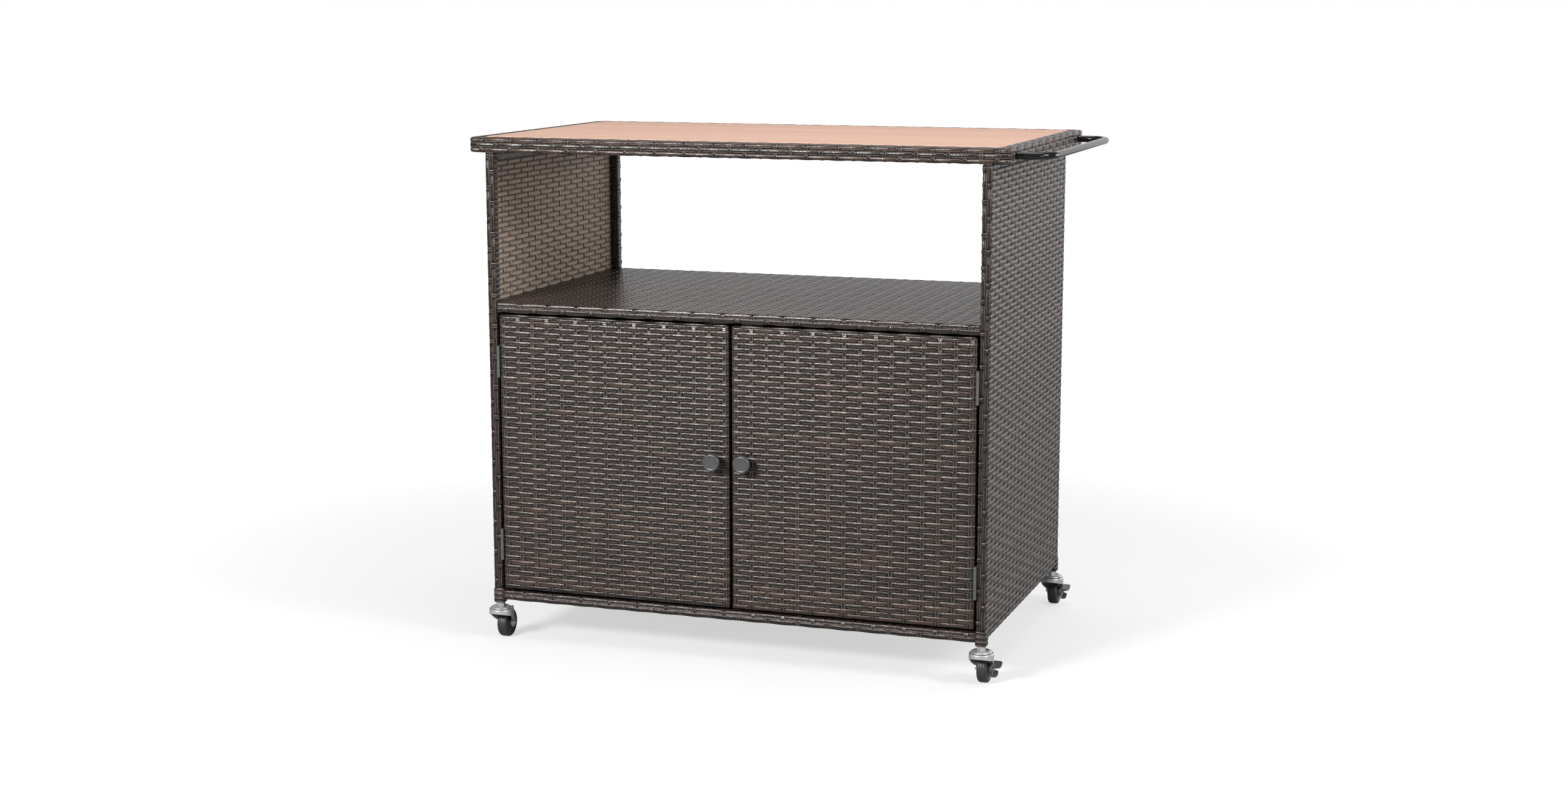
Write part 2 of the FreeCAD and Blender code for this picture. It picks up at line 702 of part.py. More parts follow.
def caster_brake():
    # lever on the axle outside the leg, with an upper and a lower pedal bent outwards
    inner = brake_face
    outer = inner + BRAKE_SHEET
    y0 = TRAIL - BRAKE_PEDAL_WIDTH / 2
    y1 = TRAIL + BRAKE_PEDAL_WIDTH / 2
    high = axle_z + BRAKE_LIFT
    low = axle_z - BRAKE_DROP
    plate = box(inner, outer, y0, y1, low, high)
    upper = pedal(outer, high, BRAKE_UPPER_REACH, y0, y1)
    lower = pedal(outer, low + BRAKE_SHEET, BRAKE_LOWER_REACH, y0, y1)
    web = box(inner, outer + BRAKE_WEB, y1 - BRAKE_SHEET, y1, axle_z - BRAKE_WEB_DROP,
              high - BRAKE_SHEET / 2)
    lever = plate.fuse(upper).fuse(lower).fuse(web)
    hole = rod(AXLE / 2 + SLIDE_FIT, vec(0, TRAIL, axle_z), vec(CUP_DIAMETER, TRAIL, axle_z))
    return lever.cut(hole).removeSplitter()


def pedal(start, top, reach, y0, y1):
    # flat pedal with round outer corners
    flat = box(start - BRAKE_SHEET / 2, start + reach, y0, y1, top - BRAKE_SHEET, top)
    upright = [edge for edge in flat.Edges if edge.BoundBox.ZLength > BRAKE_SHEET / 2]
    outer = [edge for edge in upright if edge.BoundBox.XMin > start]
    return flat.makeFillet(BRAKE_CORNER, outer)


pieces = {}


def add(name, shape):
    solids = shape if isinstance(shape, list) else [shape]
    pieces[name] = solids


side_tubes = side_frame()
for side_name, side in SIDES.items():
    add("side_frame_" + side_name, [hand(solid, side) for solid in side_tubes])
    add("side_weave_" + side_name, hand(side_weave(), side))
add("post_wraps", post_wraps())
add("shelf_frame", panel_frame(shelf_bottom, [0.0]))
add("shelf_weave", panel_weave(shelf_bottom))
add("floor_frame", panel_frame(RAIL_BOTTOM, [-BEARER_X, BEARER_X]))
add("floor_weave", panel_weave(RAIL_BOTTOM))
add("back_frame", back_frame())
add("back_weave", back_weave())
add("tabletop_frame", tabletop_frame())
add("tabletop_border", tabletop_border())
add("worktop_board", worktop_board())
add("push_handle", push_handle())

for side_name, side in SIDES.items():
    add("door_frame_" + side_name, [hand(solid, side) for solid in door_tubes()])
    add("door_weave_" + side_name, [hand(solid, side) for solid in door_weave()])
    add("door_knob_" + side_name, hand(door_knob(), side))
    add("knob_screw_" + side_name, hand(knob_screw(), side))
    add("strike_plate_" + side_name, hand(strike_plate(), side))
    add("magnetic_catch_" + side_name, hand(magnetic_catch(), side))
    hinge_levels = (HINGE_LOW_Z, HINGE_HIGH_Z)
    add("hinge_frame_leaf_" + side_name, [hand(hinge_frame_leaf(z), side) for z in hinge_levels])
    add("hinge_door_leaf_" + side_name, [hand(hinge_door_leaf(z), side) for z in hinge_levels])
add("catch_magnets", [hand(catch_magnet(), side) for side in SIDES.values()])

for end_name, end in ENDS.items():
    for side_name, side in SIDES.items():
        corner = end_name + "_" + side_name
        x = side * post_x
        y = end * post_y
        braked = side_name == "right"
        add("caster_stem_" + corner, moved(caster_stem(), x, y, 0))
        add("caster_fork_" + corner, moved(caster_fork(), x, y, 0))
        add("caster_axle_" + corner, moved(caster_axle(braked), x, y, 0))
        add("caster_wheel_" + corner, moved(caster_wheel(), x, y, 0))
        if braked:
            add("caster_brake_" + corner, moved(caster_brake(), x, y, 0))

os.makedirs("parts", exist_ok=True)
for name, solids in pieces.items():
    shape = solids[0] if len(solids) == 1 else group(solids)
    shape = moved(shape, -origin_x, -origin_y, 0)
    if not shape.isValid():
        print("not valid:", name)
    for solid in solids:
        if len(solid.Solids) != 1:
            print("not one solid:", name, len(solid.Solids))
    shape.exportStep("parts/" + name + ".step")

print("nodes", len(pieces), "solids", sum(len(solids) for solids in pieces.values()))
print("origin shift", round(origin_x, 3), round(origin_y, 3))
for side_name, side in SIDES.items():
    print("door axis", side_name, round(side * hinge_x - origin_x, 3), round(hinge_y - origin_y, 3))
    for end_name, end in ENDS.items():
        print("caster", end_name, side_name, round(side * post_x - origin_x, 3),
              round(end * post_y - origin_y, 3), "axle y", round(end * post_y + TRAIL - origin_y, 3))
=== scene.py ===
import itertools
import json
from math import ceil, cos, floor, pi, sin, sqrt, tanh

import bmesh
import bpy
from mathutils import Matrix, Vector


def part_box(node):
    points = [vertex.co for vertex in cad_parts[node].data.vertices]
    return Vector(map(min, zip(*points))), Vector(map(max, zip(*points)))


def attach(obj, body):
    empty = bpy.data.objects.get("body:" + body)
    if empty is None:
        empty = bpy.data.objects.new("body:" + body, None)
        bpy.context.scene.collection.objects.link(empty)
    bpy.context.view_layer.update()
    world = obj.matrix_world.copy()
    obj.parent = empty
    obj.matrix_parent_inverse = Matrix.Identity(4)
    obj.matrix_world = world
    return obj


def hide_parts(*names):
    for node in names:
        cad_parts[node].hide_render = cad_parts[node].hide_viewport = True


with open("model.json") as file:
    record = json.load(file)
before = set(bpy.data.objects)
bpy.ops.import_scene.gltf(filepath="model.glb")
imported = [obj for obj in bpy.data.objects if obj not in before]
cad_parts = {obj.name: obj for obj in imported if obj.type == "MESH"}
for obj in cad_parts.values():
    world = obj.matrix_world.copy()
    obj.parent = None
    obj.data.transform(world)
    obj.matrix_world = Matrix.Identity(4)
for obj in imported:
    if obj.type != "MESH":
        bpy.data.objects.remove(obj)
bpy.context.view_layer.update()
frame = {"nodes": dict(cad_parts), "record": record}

mm = 0.001
print("frame loaded")


# Where the cart's faces are, in millimetres, read from the frame
def corners(node):
    low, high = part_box(node)
    return low / mm, high / mm


postLow, postHigh = corners("post_wraps")
tableLow, tableHigh = corners("tabletop_border")
shelfLow, shelfHigh = corners("shelf_weave")
floorLow, floorHigh = corners("floor_weave")
middleX = (postLow.x + postHigh.x) / 2
middleY = (postLow.y + postHigh.y) / 2

# Resin strand, in millimetres. A height is measured from the middle of the woven sheet
strand = {
    "halfWidth": 4.95,
    "crossHalfWidth": 4.3,
    "rowPitch": 9.0,
    "crossPitch": 27.0,
    "lift": 0.42,  # how far a strand rises over the one that it crosses
    "sharpness": 1.3,  # more makes a row flatter at a crossing and steeper between two
    "crossSteepness": 1.6,  # the same for a cross strand
    "crossFlat": 0.27,  # half of a cross strand's flat stretch, as a share of the row pitch
    "skin": 0.65,  # from the outer face of the part down to the middle of the sheet
    "foldRadius": 3.6,  # where a sheet turns over an edge
    # share of the half width, and height. The last point joins the first along the flat back
    "section": ((-1, -1.25), (-0.84, -0.15), (-0.62, 0.25), (0, 0.6), (0.62, 0.25), (0.84, -0.15),
                (1, -1.25)),
}
# How near a station may be to an end, and to a mark as a share of the step
spacing = {"end": 0.5, "crossEnd": 1.0, "markShare": 0.3}
fold = strand["foldRadius"]
skin = strand["skin"]
rowPitch = strand["rowPitch"]
crossPitch = strand["crossPitch"]
strandNumbers = itertools.count(1)  # every strand gets the next one, which picks its colour


# A track is a path in one plane, made of straight runs and turns. The values are a function from a distance
# along it and a height above it to a point, the distances where it needs stations, and its length
def makeTrack(u, v, heading, pieces):
    parts = []
    marks = []
    start = 0
    for length, turn in pieces:
        parts.append((start, length, turn, u, v, heading))
        if turn:
            radius = length / turn
            u += radius * (sin(heading + turn) - sin(heading))
            v -= radius * (cos(heading + turn) - cos(heading))
            heading += turn
            marks += [start, start + length / 3, start + length * 2 / 3, start + length]
        else:
            u += length * cos(heading)
            v += length * sin(heading)
        start += length

    def at(distance, height):
        for first, length, turn, x, y, way in parts:
            if distance <= first + length:
                break
        past = distance - first
        if not turn:
            return x + past * cos(way) - height * sin(way), y + past * sin(way) + height * cos(way)
        radius = length / turn
        now = way + turn * past / length
        return (x + radius * (sin(now) - sin(way)) - height * sin(now),
                y - radius * (cos(now) - cos(way)) + height * cos(now))

    return at, marks, start


def quarterTurn(radius):
    return radius * pi / 2, -pi / 2


# Regular stations between two ends, with the marks of a track kept
def stations(low, high, origin, step, marks=()):
    room = spacing["end"]
    fixed = [low, high] + [mark for mark in marks if low + room < mark < high - room]
    places = []
    for number in range(ceil((low - origin) / step), floor((high - origin) / step) + 1):
        place = origin + number * step
        if all(abs(place - mark) > step * spacing["markShare"] for mark in fixed):
            places.append(place)
    return sorted(places + fixed)


# Stations of a cross strand: two for each row, at the ends of its flat stretch
def crossStations(low, high, firstRow, pitch):
    room = spacing["crossEnd"]
    places = [low, high]
    for number in range(ceil((low - firstRow) / pitch) - 1, floor((high - firstRow) / pitch) + 2):
        for part in (-strand["crossFlat"], strand["crossFlat"]):
            place = firstRow + (number + part) * pitch
            if low + room < place < high - room:
                places.append(place)
    return sorted(places)


def series(first, pitch, count):
    return [first + pitch * number for number in range(count)]


def spread(first, last, pitch):
    count = max(1, round((last - first) / pitch))
    return series(first, (last - first) / count, count + 1)


# One straight closed strand along X through the given stations. Its flat back has the second material
def makeStrand(bm, halfWidth, places):
    layer = bm.verts.layers.float_vector.new("strand")
    ring = bmesh.ops.create_circle(bm, cap_ends=True, radius=1, segments=len(strand["section"]))["verts"]
    for vert, (across, height) in zip(ring, strand["section"]):
        vert.co = (0, across * halfWidth, height)
        vert[layer] = (0, across, 0)
    steps = len(places) - 1
    bmesh.ops.spin(bm, geom=bm.faces[:], cent=(0, 0, 0), axis=(1, 0, 0), dvec=(1, 0, 0), angle=0, steps=steps)
    for vert in bm.verts:
        vert.co.x = places[round(vert.co.x)]
    for face in bm.faces:
        if len(face.verts) == 4 and all(abs(vert[layer].y) > 0.99 for vert in face.verts):
            face.material_index = 1
            for edge in face.edges:
                edge.smooth = edge.verts[0][layer].y != edge.verts[1][layer].y


# Copies stand side by side along Y, a lane apart, until there are enough
def copyStrands(bm, count, lane):
    made = 1
    while made < count:
        wanted = min(made, count - made)
        verts = [vert for vert in bm.verts if vert.co.y < (wanted - 0.5) * lane]
        edges = {edge for vert in verts for edge in vert.link_edges}
        faces = {face for vert in verts for face in vert.link_faces}
        copies = bmesh.ops.duplicate(bm, geom=verts + list(edges) + list(faces))["geom"]
        moved = [item for item in copies if isinstance(item, bmesh.types.BMVert)]
        bmesh.ops.translate(bm, verts=moved, vec=(0, made * lane, 0))
        made += wanted


def startWeave():
    bm = bmesh.new()
    bm.verts.layers.float_vector.new("strand")
    return bm


# Equal strands: shape(along) lifts each one, and place(along, across, height) sets it in the cart.
# The attribute keeps how high a vert was lifted, where it is across its strand, and the strand's number
def layStrands(weave, places, lines, shapes, place, halfWidth=strand["halfWidth"]):
    lane = 100
    bm = bmesh.new()
    makeStrand(bm, halfWidth, places)
    copyStrands(bm, len(lines), lane)
    layer = bm.verts.layers.float_vector["strand"]
    numbers = [next(strandNumbers) for _ in lines]
    for vert in bm.verts:
        along, across, height = vert.co
        index = round(across / lane)
        across += lines[index] - index * lane
        rise = shapes[index % len(shapes)](along)
        vert[layer] = (rise / strand["lift"], vert[layer].y, numbers[index])
        vert.co = Vector(place(along, across, height + rise)) * mm
    bmesh.ops.recalc_face_normals(bm, faces=bm.faces[:])
    mesh = bpy.data.meshes.new("strands")
    bm.to_mesh(mesh)
    bm.free()
    weave.from_mesh(mesh)
    bpy.data.meshes.remove(mesh)


def clamp(value, low=-1):
    return max(low, min(1, value))


# A strand's rise and fall over the ones that cross it. The phase counts crossings
def bend(phase, sharp=strand["sharpness"]):
    return strand["lift"] * tanh(sharp * cos(pi * phase)) / tanh(sharp)


def wave(first, pitch, sign, sharp=strand["sharpness"]):
    return lambda along: sign * bend((along - first) / pitch, sharp)


# A cross strand is flat over a row and steep between two rows
def crossWave(firstRow, pitch, sign):
    steep = strand["crossSteepness"]
    return lambda along: sign * strand["lift"] * clamp(steep * cos(pi * (along - firstRow) / pitch))


# The place function with its first two values swapped
def turned(place):
    return lambda across, along, height: place(along, across, height)


# A plain weave: long rows, with cross strands that pass over and under them in turn
def weaveSheet(bm, place, rows, rowEnds, crossings, crossEnds, steps, marks=()):
    step = crossings[1] - crossings[0]
    along = stations(*rowEnds, crossings[0], step / steps, marks)
    layStrands(bm, along, rows, [wave(crossings[0], step, sign) for sign in (1, -1)], place)
    step = rows[1] - rows[0]
    across = crossStations(*crossEnds, rows[0], step)
    shapes = [crossWave(rows[0], step, sign) for sign in (-1, 1)]
    layStrands(bm, across, crossings, shapes, turned(place), strand["crossHalfWidth"])


def newObject(name, bm, materials):
    mesh = bpy.data.meshes.new(name)
    bm.to_mesh(mesh)
    bm.free()
    for material in materials:
        mesh.materials.append(material)
    made = bpy.data.objects.new(name, mesh)
    bpy.context.scene.collection.objects.link(made)
    return made


def newPiece(name, bm, materials, body, nodes=()):
    for face in bm.faces:
        face.smooth = True
    piece = newObject(name, bm, materials)
    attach(piece, body)
    if nodes:
        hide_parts(*nodes)
    return piece


def newMaterial(name):
    material = bpy.data.materials.new(name)
    material.use_nodes = True
    tree = material.node_tree
    return material, tree, tree.nodes["Principled BSDF"]


# Each value is a socket to link or a plain value to set
def setInputs(tree, node, values):
    for key, value in values.items():
        if isinstance(value, bpy.types.NodeSocket):
            tree.links.new(value, node.inputs[key])
        else:
            node.inputs[key].default_value = value


def addNode(tree, kind, inputs=None, **settings):
    node = tree.nodes.new("ShaderNode" + kind)
    for key, value in settings.items():
        setattr(node, key, value)
    setInputs(tree, node, inputs or {})
    return node.outputs


def calc(tree, operation, first, second=0.0, third=0.0, clamp=False):
    inputs = {0: first, 1: second, 2: third}
    return addNode(tree, "Math", inputs, operation=operation, use_clamp=clamp)[0]


def times(tree, first, second, clamp=False):
    return calc(tree, "MULTIPLY", first, second, clamp=clamp)


def mixColour(tree, share, first, second):
    inputs = {0: share, 6: first, 7: second}
    return addNode(tree, "Mix", inputs, data_type="RGBA", blend_type="MIX")[2]


def ramp(tree, value, low, high, toLow=0.0, toHigh=1.0, way="LINEAR"):
    inputs = {0: value, 1: low, 2: high, 3: toLow, 4: toHigh}
    return addNode(tree, "MapRange", inputs, interpolation_type=way)[0]


def noise(tree, vector, scale, detail=2.0, rough=0.5):
    inputs = {"Vector": vector, "Scale": scale, "Detail": detail, "Roughness": rough}
    return addNode(tree, "TexNoise", inputs)[0]


def randomValue(tree, number):
    return addNode(tree, "TexWhiteNoise", {"W": number}, noise_dimensions="1D")[0]


def bumpNormal(tree, height, strength, distance):
    return addNode(tree, "Bump", {"Strength": strength, "Distance": distance, "Height": height})[0]


def objectPlace(tree):
    return addNode(tree, "TexCoord")["Object"]


# A group's inputs and outputs by kind. Each use gives all the inputs
def newGroup(name, inputs, outputs):
    tree = bpy.data.node_groups.new(name, "ShaderNodeTree")
    for way, sockets in (("INPUT", inputs), ("OUTPUT", outputs)):
        for kind, labels in sockets.items():
            for label in labels:
                tree.interface.new_socket(label, in_out=way, socket_type="NodeSocket" + kind)
    return tree, tree.nodes.new("NodeGroupInput").outputs, tree.nodes.new("NodeGroupOutput")


def useGroup(tree, group, values):
    node = tree.nodes.new("ShaderNodeGroup")
    node.node_tree = group
    setInputs(tree, node, values)
    return node.outputs


# Places across a strand are shares of its half width, and depths are in millimetres
strandDetail = {
    "shadeScale": 22.0,  # slow change of shade along a strand
    "shadeShare": 0.7,
    "brownFrom": 0.5,  # a shade above this is partly brown
    "fleckScale": 900.0,
    "fleckShare": 0.12,
    "lineStart": (0.51, 0.56),
    "lineEnd": (0.70, 0.73),
    "grooveAt": 0.52,
    "grooveWidth": 0.06,
    "grooveDepth": 0.16,
    "dive": (-0.55, -0.97),  # from this rise to that one the painted shade grows, where a strand dives under the next
    "poreScale": 1000.0,
    "glossScale": 400.0,
    "glossSpread": 0.08,
}


# Leathery grain along a strand, with its edge lines, and painted shade in the gaps between strands and where
# a strand dives under the next. Both faces of the strand use it
def makeStrandGroup():
    detail = strandDetail
    tree, given, result = newGroup(
        "strandFace",
        {"Color": ("Dark", "Brown", "Edge", "Gap"),
         "Float": ("EdgeStrength", "GapStrength", "GapFrom", "GapTo", "Facing", "Dive", "Crown", "Bulge",
                   "Grain", "Roughness")},
        {"Color": ("Colour",), "Float": ("Roughness",), "Vector": ("Normal",)})
    attribute = addNode(tree, "Attribute", attribute_name="strand")["Vector"]
    rise, across, number = addNode(tree, "SeparateXYZ", {0: attribute})
    side = calc(tree, "ABSOLUTE", across)
    place = objectPlace(tree)
    slow = noise(tree, place, detail["shadeScale"], 1.0)
    slow = calc(tree, "MULTIPLY_ADD", slow, detail["shadeShare"], -detail["shadeShare"] / 2)
    share = ramp(tree, calc(tree, "ADD", randomValue(tree, number), slow), detail["brownFrom"], 1.0,
                 way="SMOOTHSTEP")
    body = mixColour(tree, share, given["Dark"], given["Brown"])
    fleck = ramp(tree, noise(tree, place, detail["fleckScale"], 2.0, 0.6), 0.5, 0.75)
    body = mixColour(tree, times(tree, fleck, detail["fleckShare"]), body, given["Edge"])
    lineEnd = ramp(tree, side, *detail["lineEnd"])
    line = calc(tree, "SUBTRACT", ramp(tree, side, *detail["lineStart"]), lineEnd)
    line = times(tree, line, given["EdgeStrength"], clamp=True)
    colour = mixColour(tree, line, body, given["Edge"])
    # painted shade in the gap between two strands, towards each side edge
    gap = times(tree, ramp(tree, side, given["GapFrom"], given["GapTo"]), given["GapStrength"])
    # painted shade too where it dives under the next strand
    facing = times(tree, rise, given["Facing"])
    dive = times(tree, ramp(tree, facing, *detail["dive"]), given["Dive"])
    colour = mixColour(tree, calc(tree, "MAXIMUM", gap, dive), colour, given["Gap"])
    # heights: the round of the back, the bulge over a crossing, the groove by the edge line, the grain
    crown = times(tree, times(tree, side, side), given["Crown"])
    crown = calc(tree, "SUBTRACT", crown, times(tree, facing, given["Bulge"]))
    away = calc(tree, "ABSOLUTE", calc(tree, "SUBTRACT", side, detail["grooveAt"]))
    groove = ramp(tree, away, 0.0, detail["grooveWidth"], -detail["grooveDepth"], 0.0)
    cells = {"Vector": place, "Scale": detail["poreScale"]}
    pores = addNode(tree, "TexVoronoi", cells, feature="F1")["Distance"]
    height = calc(tree, "MULTIPLY_ADD", groove, given["EdgeStrength"],
                  times(tree, pores, given["Grain"]))
    height = calc(tree, "SUBTRACT", height, crown)
    spread = detail["glossSpread"]
    gloss = ramp(tree, noise(tree, place, detail["glossScale"]), 0.3, 0.7, -spread, spread)
    setInputs(tree, result, {
        "Colour": colour,
        "Roughness": calc(tree, "ADD", gloss, given["Roughness"], clamp=True),
        "Normal": bumpNormal(tree, height, 1.0, mm),
    })
    return tree


grainDetail = {"broadScale": 18.0, "bumpDistance": 0.4 * mm}
grainInputs = ("Scale", "Roughness", "Spread", "Depth")


# Fine unevenness of a hard surface: a roughness round a middle value, and a shallow bump
def makeGrainGroup():
    tree, given, result = newGroup(
        "surfaceGrain",
        {"Float": grainInputs},
        {"Float": ("Roughness", "Mask"), "Vector": ("Normal",)})
    place = objectPlace(tree)
    fine = noise(tree, place, given["Scale"], 4.0, 0.6)
    broad = noise(tree, place, grainDetail["broadScale"])
    offset = calc(tree, "SUBTRACT", calc(tree, "ADD", fine, broad), 1.0)
    offset = times(tree, offset, given["Spread"])
    setInputs(tree, result, {
        "Roughness": calc(tree, "ADD", given["Roughness"], offset, clamp=True),
        "Normal": bumpNormal(tree, fine, given["Depth"], grainDetail["bumpDistance"]),
        "Mask": broad,
    })
    return tree


strandFace = makeStrandGroup()
surfaceGrain = makeGrainGroup()


def strandMaterial(name, face, specular):
    material, tree, shader = newMaterial(name)
    made = useGroup(tree, strandFace, face)
    setInputs(tree, shader, {
        "Base Color": made["Colour"],
        "Roughness": made["Roughness"],
        "Normal": made["Normal"],
        "Specular IOR Level": specular,
    })
    return material


def plainMaterial(name, colour, second, grain, metallic, specular):
    material, tree, shader = newMaterial(name)
    made = useGroup(tree, surfaceGrain, dict(zip(grainInputs, grain)))
    setInputs(tree, shader, {
        "Base Color": mixColour(tree, made["Mask"], (*colour, 1), (*second, 1)),
        "Roughness": made["Roughness"],
        "Normal": made["Normal"],
        "Metallic": metallic,
        "Specular IOR Level": specular,
    })
    return material


# The gap colour, with its strength and its from and to, is painted shade between strands. The dive is painted
# shade where a strand dives under the next
strandLooks = {
    "wovenStrand": {
        "face": {
            "Dark": (0.01, 0.0095, 0.009, 1), "Brown": (0.055, 0.033, 0.024, 1),
            "Edge": (0.17, 0.12, 0.10, 1), "Gap": (0.002, 0.0015, 0.0015, 1),
            "EdgeStrength": 1.0, "GapStrength": 1.0, "GapFrom": 0.71, "GapTo": 0.77,
            "Facing": 1.0, "Dive": 0.85, "Crown": 1.2, "Bulge": 0.55, "Grain": 0.11, "Roughness": 0.235,
        },
        "specular": 0.5,
    },
    "strandBack": {
        "face": {
            "Dark": (0.31, 0.235, 0.18, 1), "Brown": (0.40, 0.295, 0.222, 1),
            "Edge": (0.4, 0.3, 0.23, 1), "Gap": (0.02, 0.014, 0.01, 1),
            "EdgeStrength": 0.15, "GapStrength": 0.9, "GapFrom": 0.55, "GapTo": 0.95,
            "Facing": -1.0, "Dive": 0.45, "Crown": 1.7, "Bulge": 0.5, "Grain": 0.03, "Roughness": 0.45,
        },
        "specular": 0.4,
    },
}
weaveMaterials = [strandMaterial(name, **look) for name, look in strandLooks.items()]


def wovenPiece(name, bm, nodes=(), body="cart"):
    newPiece(name, bm, weaveMaterials, body, nodes)


# Two colours, the grain's scale, roughness, spread and depth of bump, the metallic share, the specular level
hardLooks = {
    "handleCoat": ((0.006, 0.006, 0.006), (0.010, 0.010, 0.010), (900.0, 0.17, 0.04, 0.0), 0.0, 0.38),
    "knobMetal": ((0.055, 0.056, 0.057), (0.065, 0.066, 0.067), (1100.0, 0.34, 0.05, 0.0), 0.0, 0.6),
    "casterZinc": ((0.60, 0.61, 0.62), (0.70, 0.70, 0.70), (500.0, 0.34, 0.1, 0.0), 0.75, 0.5),
    "brightSteel": ((0.6, 0.6, 0.6), (0.72, 0.72, 0.72), (600.0, 0.3, 0.1, 0.0), 0.9, 0.5),
    "hingeSteel": ((0.11, 0.115, 0.115), (0.15, 0.155, 0.155), (500.0, 0.42, 0.1, 0.03), 0.5, 0.5),
    "brakeCoat": ((0.07, 0.073, 0.065), (0.12, 0.123, 0.11), (500.0, 0.35, 0.12, 0.03), 0.3, 0.5),
    "wheelRubber": ((0.026, 0.026, 0.026), (0.04, 0.04, 0.04), (700.0, 0.45, 0.1, 0.08), 0.0, 0.5),
    "catchPlastic": ((0.045, 0.043, 0.04), (0.06, 0.057, 0.053), (700.0, 0.45, 0.1, 0.15), 0.0, 0.5),
    "magnetFinish": ((0.09, 0.09, 0.09), (0.13, 0.13, 0.13), (500.0, 0.45, 0.1, 0.1), 0.4, 0.5),
    "frameCoat": ((0.022, 0.018, 0.016), (0.035, 0.029, 0.026), (500.0, 0.45, 0.1, 0.1), 0.0, 0.5),
}
hardMaterials = {name: plainMaterial(name, *look) for name, look in hardLooks.items()}

board = {
    "pale": (0.71, 0.455, 0.345, 1),
    "tan": (0.60, 0.36, 0.265, 1),
    "line": (0.28, 0.15, 0.10, 1),
    "staveWidth": 0.068,
    "lineFrom": 0.455,  # from the middle of a stave, as a share of its width
    "lineTo": 0.495,
    "waver": 0.012,  # how far a joint wanders
    "stretch": (1.5, 60.0, 20.0),
    "fineScale": 6.0,
    "streakScale": 1.4,
    "streakShare": 0.35,
    "bumpDistance": 0.5 * mm,
    "bumpStrength": 0.15,
    "specular": 0.25,
}


# Wood of the worktop: long staves with thin dark joints and a fine grain along X
def makeBoardMaterial():
    material, tree, shader = newMaterial("boardWood")
    place = objectPlace(tree)
    alongY = addNode(tree, "SeparateXYZ", {0: place})[1]
    stretched = addNode(tree, "Mapping", {0: place, 3: board["stretch"]})[0]
    fine = noise(tree, stretched, board["fineScale"], 6.0, 0.6)
    streak = noise(tree, stretched, board["streakScale"], 3.0)
    waver = calc(tree, "MULTIPLY_ADD", noise(tree, place, 3.0, 1.0), board["waver"], -board["waver"] / 2)
    row = calc(tree, "DIVIDE", calc(tree, "ADD", alongY, waver), board["staveWidth"])
    stave = randomValue(tree, calc(tree, "FLOOR", row))
    away = calc(tree, "ABSOLUTE", calc(tree, "SUBTRACT", calc(tree, "FRACT", row), 0.5))
    line = ramp(tree, away, board["lineFrom"], board["lineTo"])
    line = times(tree, line, ramp(tree, streak, 0.3, 0.6, 0.3, 0.9))
    tone = calc(tree, "MULTIPLY_ADD", fine, 0.7, times(tree, stave, 0.35))
    colour = mixColour(tree, ramp(tree, tone, 0.25, 0.85), board["pale"], board["tan"])
    dark = calc(tree, "MAXIMUM", line, ramp(tree, streak, 0.62, 0.8, 0.0, board["streakShare"]))
    setInputs(tree, shader, {
        "Base Color": mixColour(tree, dark, colour, board["line"]),
        "Roughness": ramp(tree, fine, 0.3, 0.7, 0.5, 0.65),
        "Normal": bumpNormal(tree, fine, board["bumpStrength"], board["bumpDistance"]),
        "Specular IOR Level": board["specular"],
    })
    return material


boardWood = makeBoardMaterial()
print("materials made")

door = {
    "rows": 55,
    "crossInset": 8.6,  # from a side edge to the first cross strand
    "fold": 4.2,
    "depth": 15.3,  # how far back a strand goes on the door's edge
    "endGap": 0.5,
    "edgeStep": 0.75,  # for the rows on the edges, as a share of the row pitch
    "steps": 5,
}


# Up one edge face, across the front and down the other. The last value is where the door's low side is on it
def doorTrack(low, high):
    radius = door["fold"]
    run = door["depth"] - radius
    turn = quarterTurn(radius)
    pieces = ((run, 0), turn, (high - low - 2 * skin - 2 * radius, 0), turn, (run, 0))
    at, marks, length = makeTrack(low + skin, -door["depth"], pi / 2, pieces)
    return at, marks, length, run + turn[0] - radius - skin


def buildDoor(side):
    low, high = corners("door_weave_" + side)
    alongAt, alongMarks, alongLength, firstX = doorTrack(low.x, high.x)
    acrossAt, _, acrossLength, firstZ = doorTrack(low.z, high.z)

    def place(along, across, height):
        z, out = acrossAt(across, height)
        x, out = alongAt(along, out)
        return x, low.y + skin - out, z

    bm = startWeave()
    pitch = (high.z - low.z) / door["rows"]
    firstRow = firstZ + pitch / 2
    inset = door["crossInset"]
    gap = door["endGap"]
    crossings = spread(firstX + inset, firstX + high.x - low.x - inset, crossPitch)
    rows = series(firstRow, pitch, door["rows"])
    weaveSheet(bm, place, rows, (0, alongLength), crossings, (gap, acrossLength - gap), door["steps"],
               alongMarks)
    # one more row on the top edge and one on the bottom edge, between the turns
    inner = alongMarks[3] + gap
    along = stations(inner, alongLength - inner, crossings[0], pitch * door["edgeStep"])
    edgeRows = [firstRow - pitch, firstRow + pitch * door["rows"]]
    layStrands(bm, along, edgeRows, [wave(crossings[0], crossings[1] - crossings[0], -1)], place)
    wovenPiece("doorWeave_" + side, bm, ["door_weave_" + side], "door_" + side)


for side in ("left", "right"):
    buildDoor(side)
print("doors woven")

sidePanel = {
    "crossings": 21,
    "cornerShare": 0.62,  # how much of the post's corner a row goes round
    "topGap": 1.0,
    "underReach": 12.0,  # how far the cross strands go under the low tube
    "underInset": 12.0,  # from the corners to the rows under the tube
    "underSteps": 3,
    "steps": 4,
}


